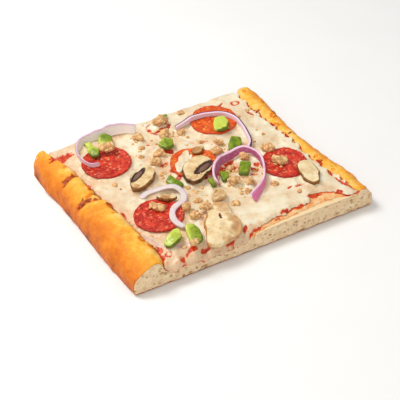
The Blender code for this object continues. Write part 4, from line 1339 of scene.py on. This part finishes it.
def strip_steps(wall, finish):
    """A closed band that follows a line, whose points keep its height, lean and way out."""
    steps = Steps("onion_strip", {"Wall": wall * MM, "Corners": SQUARE_CORNERS})
    line = steps.add("GeometryNodeMeshToCurve", {}, {0: steps.start})
    line = steps.add("GeometryNodeSetCurveNormal", {"mode": "Z_UP"}, {0: line})
    ring = steps.add("GeometryNodeCurvePrimitiveCircle", {}, {"Resolution": 28, "Radius": 1.0})
    place = steps.add("GeometryNodeInputPosition")
    split = steps.add("ShaderNodeSeparateXYZ", {}, {0: place})
    across, up = split, Wire(steps, split.socket.node.outputs[1])
    squared = [part * (part.maths("ABSOLUTE", part) + 0.02) ** steps.size("Corners")
               for part in (across, up)]
    flat = steps.vector(*squared)
    ring = steps.add("GeometryNodeSetPosition", {}, {0: ring, "Position": flat})
    for key, part in zip(("wall", "up"), squared):
        ring = steps.keep(ring, key, part * 0.5 + 0.5)
    tiny = steps.add("GeometryNodeTransform", {}, {0: ring, "Scale": (1e-5, 1e-5, 1e-5)})
    band = steps.add("GeometryNodeCurveToMesh", {},
                     {"Curve": line, "Profile Curve": tiny, "Fill Caps": True})
    read = steps.read("up", "wall", "tall", "shift", "narrow", "out_x", "out_y")
    side = ((read["wall"] - 0.5) * steps.size("Wall") * read["narrow"]
            + (read["up"] - 0.5) * read["shift"])
    shift = steps.vector(read["out_x"] * side, read["out_y"] * side, read["up"] * read["tall"])
    band = steps.add("GeometryNodeSetPosition", {}, {0: band, "Offset": shift})
    steps.end(band, finish)
    return steps


def make_onion(node, wall, leans, talls, route, finish, seed):
    """Sets a strip of onion along its route, as high as its solid lies."""
    length = sum(math.dist(a, b) for a, b in zip(route, route[1:]))
    count = int(length / 1.2)
    line = smooth_route(route, count)
    ahead = np.gradient(line, axis=0)
    ahead /= np.linalg.norm(ahead, axis=1)[:, None]
    out = joined(-ahead[:, 1], ahead[:, 0])
    shares = np.linspace(0, 1, count)
    tall = np.interp(shares, np.linspace(0, 1, len(talls)), talls)
    lean = np.interp(shares, np.linspace(0, 1, len(leans)), leans)
    lift = heights(tree_of(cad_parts[node]), *line.T, False)
    good = ~np.isnan(lift)
    lift = np.interp(shares, shares[good], lift[good])
    lift = np.convolve(np.pad(lift, 3, mode="edge"), np.ones(7) / 7, mode="valid")
    run = joined(shares * length, np.full(count, seed))
    tall = tall * (1 + 0.08 * rough(run, 9))
    ends = 0.35 + 0.65 * rounded(np.minimum(shares, 1 - shares) * length / 1.5)
    tall = tall * ends
    narrow = ends * (1 + 0.1 * rough(run, 8, 5))
    mesh = bpy.data.meshes.new(node)
    points = np.column_stack([line, lift + tall / ends * (1 - ends) / 2]) * MM
    mesh.from_pydata(points.tolist(), [(k, k + 1) for k in range(count - 1)], [])
    keep_numbers(mesh, {"tall": tall * MM, "shift": lean * tall * MM, "narrow": narrow,
                        "out_x": out[:, 0], "out_y": out[:, 1]})
    piece = strip_steps(wall, finish).run(node + "_strip", mesh)
    made = bmesh.new()
    made.from_mesh(piece.data)
    bmesh.ops.recalc_face_normals(made, faces=made.faces)
    if made.calc_volume(signed=True) < 0:
        bmesh.ops.reverse_faces(made, faces=made.faces)
    made.to_mesh(piece.data)
    made.free()
    settle(piece, "onion", [node])


for seed, row in enumerate(ONIONS):
    make_onion(*row, seed * 4.0)

# Small things

# Small crumbs of meat that are baked into the cheese: place and width.
BAKED_IN = [
    (-26.6, 56.5, 6), (24.7, 39.2, 6), (31.4, 88, 6), (-34.3, 43, 6), (24, -10, 7),
    (20, -47, 6), (-28.5, 14.5, 6), (-21.8, -17.4, 6), (-24, -36.5, 7), (2, -54.6, 8),
    (45.6, -48.3, 8), (57, -69, 6), (30, 71, 6), (88, 60, 5), (-72, 20, 5), (80, 20, 5),
]


def lump(x, y, z, width, seed):
    """A coarse round shape to make a crumb from."""
    made = bmesh.new()
    bmesh.ops.create_icosphere(made, subdivisions=2, radius=1)
    draw = random.Random(seed)
    for vert in made.verts:
        vert.co *= draw.uniform(0.8, 1.12)
        vert.co = Vector((x + vert.co.x * width / 2, y + vert.co.y * width * 0.42,
                          z + vert.co.z * width * 0.3)) * MM
    return mesh_of(made, "crumb")


cheese_tree = tree_of(cheese)
for number, (x, y, width) in enumerate(BAKED_IN):
    crumb = lump(x, y, height_at(cheese_tree, x, y), width, number)
    make_meat("baked_in_crumb_%d" % number, crumb)

# Where small crumbs of meat gather: place, reach and how many.
GATHERED = [
    ((5, 79), 12, 12), ((-23, 69), 9, 9), ((9, 60), 10, 9), ((-24, 33), 11, 16),
    ((31, 20), 10, 11), ((25, -14), 13, 26), ((38, -24), 10, 14), ((66, -6), 7, 3),
    ((64, -28), 10, 4), ((19, -35), 10, 12), ((-34, -51), 9, 14), ((-59, -88), 6, 5),
    ((-57, 62), 8, 5), ((-28, 15), 7, 7), ((-15, -21), 9, 8), ((-20, -30), 8, 7),
    ((2, -54), 5, 5), ((15, -47), 7, 6), ((-60, -31), 9, 4), ((0, 30), 95, 34),
]


def crumb_steps(finish):
    """A rough grain of meat on every point, turned and sized as the point says."""
    steps = Steps("meat_crumbs", {"Roughness": 0.55 * MM, "Grain": 900.0})
    grain = steps.add("GeometryNodeMeshIcoSphere", {}, {"Radius": 1.0, "Subdivisions": 2})
    read = steps.read("size", "turn")
    turn = steps.vector(read["turn"] * 0.3, 0.0, read["turn"])
    scale = steps.vector(read["size"], read["size"] * 0.8, read["size"] * 0.62)
    shape = steps.add("GeometryNodeInstanceOnPoints", {}, {
        "Points": steps.start, "Instance": grain, "Rotation": turn, "Scale": scale})
    shape = steps.add("GeometryNodeRealizeInstances", {}, {0: shape})
    place = steps.add("GeometryNodeInputPosition")
    cloud = steps.add("ShaderNodeTexNoise", {}, {
        "Vector": place, "Scale": steps.size("Grain"), "Detail": 2.0})
    out = steps.add("GeometryNodeInputNormal")
    push = steps.add("ShaderNodeVectorMath", {"operation": "SCALE"}, {
        0: out, "Scale": (cloud - 0.5) * steps.size("Roughness") * 4.0})
    shape = steps.add("GeometryNodeSetPosition", {}, {0: shape, "Offset": push})
    # Painted shade in the dents of each grain.
    steps.end(steps.keep(shape, "deep", 1.0 - cloud), finish)
    return steps


def scatter_crumbs(seed):
    """The small crumbs that lie between and on the larger toppings."""
    ground = tree_of(cheese, *pepperoni, *mushrooms)
    draw = random.Random(seed)
    points, sizes, turns = [], [], []
    for (px, py), reach, count in GATHERED:
        for _ in range(count):
            x, y = draw.gauss(px, reach * 0.5), draw.gauss(py, reach * 0.5)
            size = draw.uniform(0.7, 1.0) * draw.choice((1.0, 1.3, 1.7, 2.1))
            turn = draw.uniform(0, 6)
            level = height_at(ground, x, y)
            if level is None or not (-84 < x < 94 and -86 < y < 91):
                continue
            points.append((x * MM, y * MM, (level + size * 0.15) * MM))
            sizes.append(size * MM)
            turns.append(turn)
    mesh = bpy.data.meshes.new("crumb_places")
    mesh.from_pydata(points, [], [])
    keep_numbers(mesh, {"size": sizes, "turn": turns})
    settle(crumb_steps(MEAT).run("small_crumbs", mesh), "sausage")


scatter_crumbs(7)

# Melted cheese that ran over the middle slice of pepperoni: its outline.
CHEESE_RUN = [(6, 30), (6, 22), (3.5, 19), (-1, 19), (-6, 13), (-12, 8), (-18, 1), (-20, 3),
              (-18.5, 9), (-15, 16.5), (-10.5, 18.5), (-4, 24), (0, 29)]
# Its thickness, the points round it, its seed and its own numbers.
RUN_THICK = 1.0
RUN_SIDES = 80
RUN_SEED = 4
RUN_NUMBERS = {"thin": 0.15, "red": 0.0, "lilac": 0.0}


def make_cheese_run():
    """The run of cheese, which lies on whatever is under it."""
    middle = np.mean(CHEESE_RUN, axis=0)
    polar = sorted((math.atan2(y - middle[1], x - middle[0]) % (2 * math.pi),
                    math.hypot(x - middle[0], y - middle[1])) for x, y in CHEESE_RUN)
    angles = np.arange(RUN_SIDES) * 2 * math.pi / RUN_SIDES
    reach = np.interp(angles, *zip(*polar), period=2 * math.pi)
    share = (np.linspace(0, 1, 18) ** 0.8)[:, None] + 0 * reach
    ring = joined(3 * np.cos(angles), 3 * np.sin(angles) + RUN_SEED)
    reach = softened(reach, 1) * (1 + 0.1 * rough(ring, 0.9))
    x = middle[0] + share * reach * np.cos(angles)
    y = middle[1] + share * reach * np.sin(angles)
    level = disc_blur(np.nan_to_num(heights(tree_of(cheese, *pepperoni), x, y)), 1)
    thick = RUN_THICK * edge_profile(share, reach, 2.0)
    top = level + thick * (1 + 0.3 * rough(joined(x, y), 4, RUN_SEED))
    numbers = {key: np.full_like(x, value) for key, value in RUN_NUMBERS.items()}
    show_slice("cheese_run", x, y, top + 0.1, level - 0.15, CHEESE, "cheese", (), numbers)


make_cheese_run()

# The stage

# The floor, in metres, and how strong the light all round is.
FLOOR_HALF = 3.0
FLOOR_BELOW = 0.0003
ROOM_LIGHT = 0.5
# Each light: name, place, size and power.
LIGHTS = [("key", (-0.42, 0.42, 1.05), 0.5, 10.0), ("fill", (-0.5, -1.0, 0.7), 1.0, 4.0)]
# The camera: lens and sensor in mm, the point it looks at, how high and from which side
# it looks, in degrees, and how far away it is.
LENS, SENSOR = 104.9, 36.0
LOOK_AT = Vector((-0.0076, -0.0129, 0.0))
ELEVATION, AZIMUTH, DISTANCE = 37.05, -30.99, 1.013


def aim(thing, back):
    """Turns a light or the camera, which look down their own Z, away from a direction."""
    thing.rotation_euler = (-back).to_track_quat("-Z", "Y").to_euler()


def make_stage():
    """A pale floor, soft light and the camera of the picture."""
    mesh = bpy.data.meshes.new("floor")
    corners = [(x * FLOOR_HALF, y * FLOOR_HALF, -FLOOR_BELOW)
               for x, y in ((-1, -1), (1, -1), (1, 1), (-1, 1))]
    mesh.from_pydata(corners, [], [(0, 1, 2, 3)])
    mesh.materials.append(pale_floor())
    floor = new_object("floor", mesh)
    floor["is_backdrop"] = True

    world = bpy.data.worlds.new("soft_room")
    world.use_nodes = True
    background = world.node_tree.nodes["Background"]
    background.inputs["Color"].default_value = (1.0, 1.0, 1.0, 1.0)
    background.inputs["Strength"].default_value = ROOM_LIGHT
    bpy.context.scene.world = world

    for name, place, size, watts in LIGHTS:
        light = bpy.data.lights.new(name, "AREA")
        light.shape = "SQUARE"
        light.size = size
        light.energy = watts
        lamp = new_object(name, light)
        lamp.location = place
        aim(lamp, Vector(place))

    lens = bpy.data.cameras.new("camera")
    lens.sensor_width = SENSOR
    lens.lens = LENS
    lens.clip_end = 20.0
    camera = new_object("camera", lens)
    up, round_it = math.radians(ELEVATION), math.radians(AZIMUTH)
    back = Vector((math.sin(round_it) * math.cos(up), -math.cos(round_it) * math.cos(up),
                   math.sin(up)))
    camera.location = LOOK_AT + back * DISTANCE
    aim(camera, back)
    bpy.context.scene.camera = camera
    bpy.context.scene.view_settings.view_transform = "Standard"


make_stage()

[[list(corner) for corner in box] for box in (cad_box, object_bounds())]
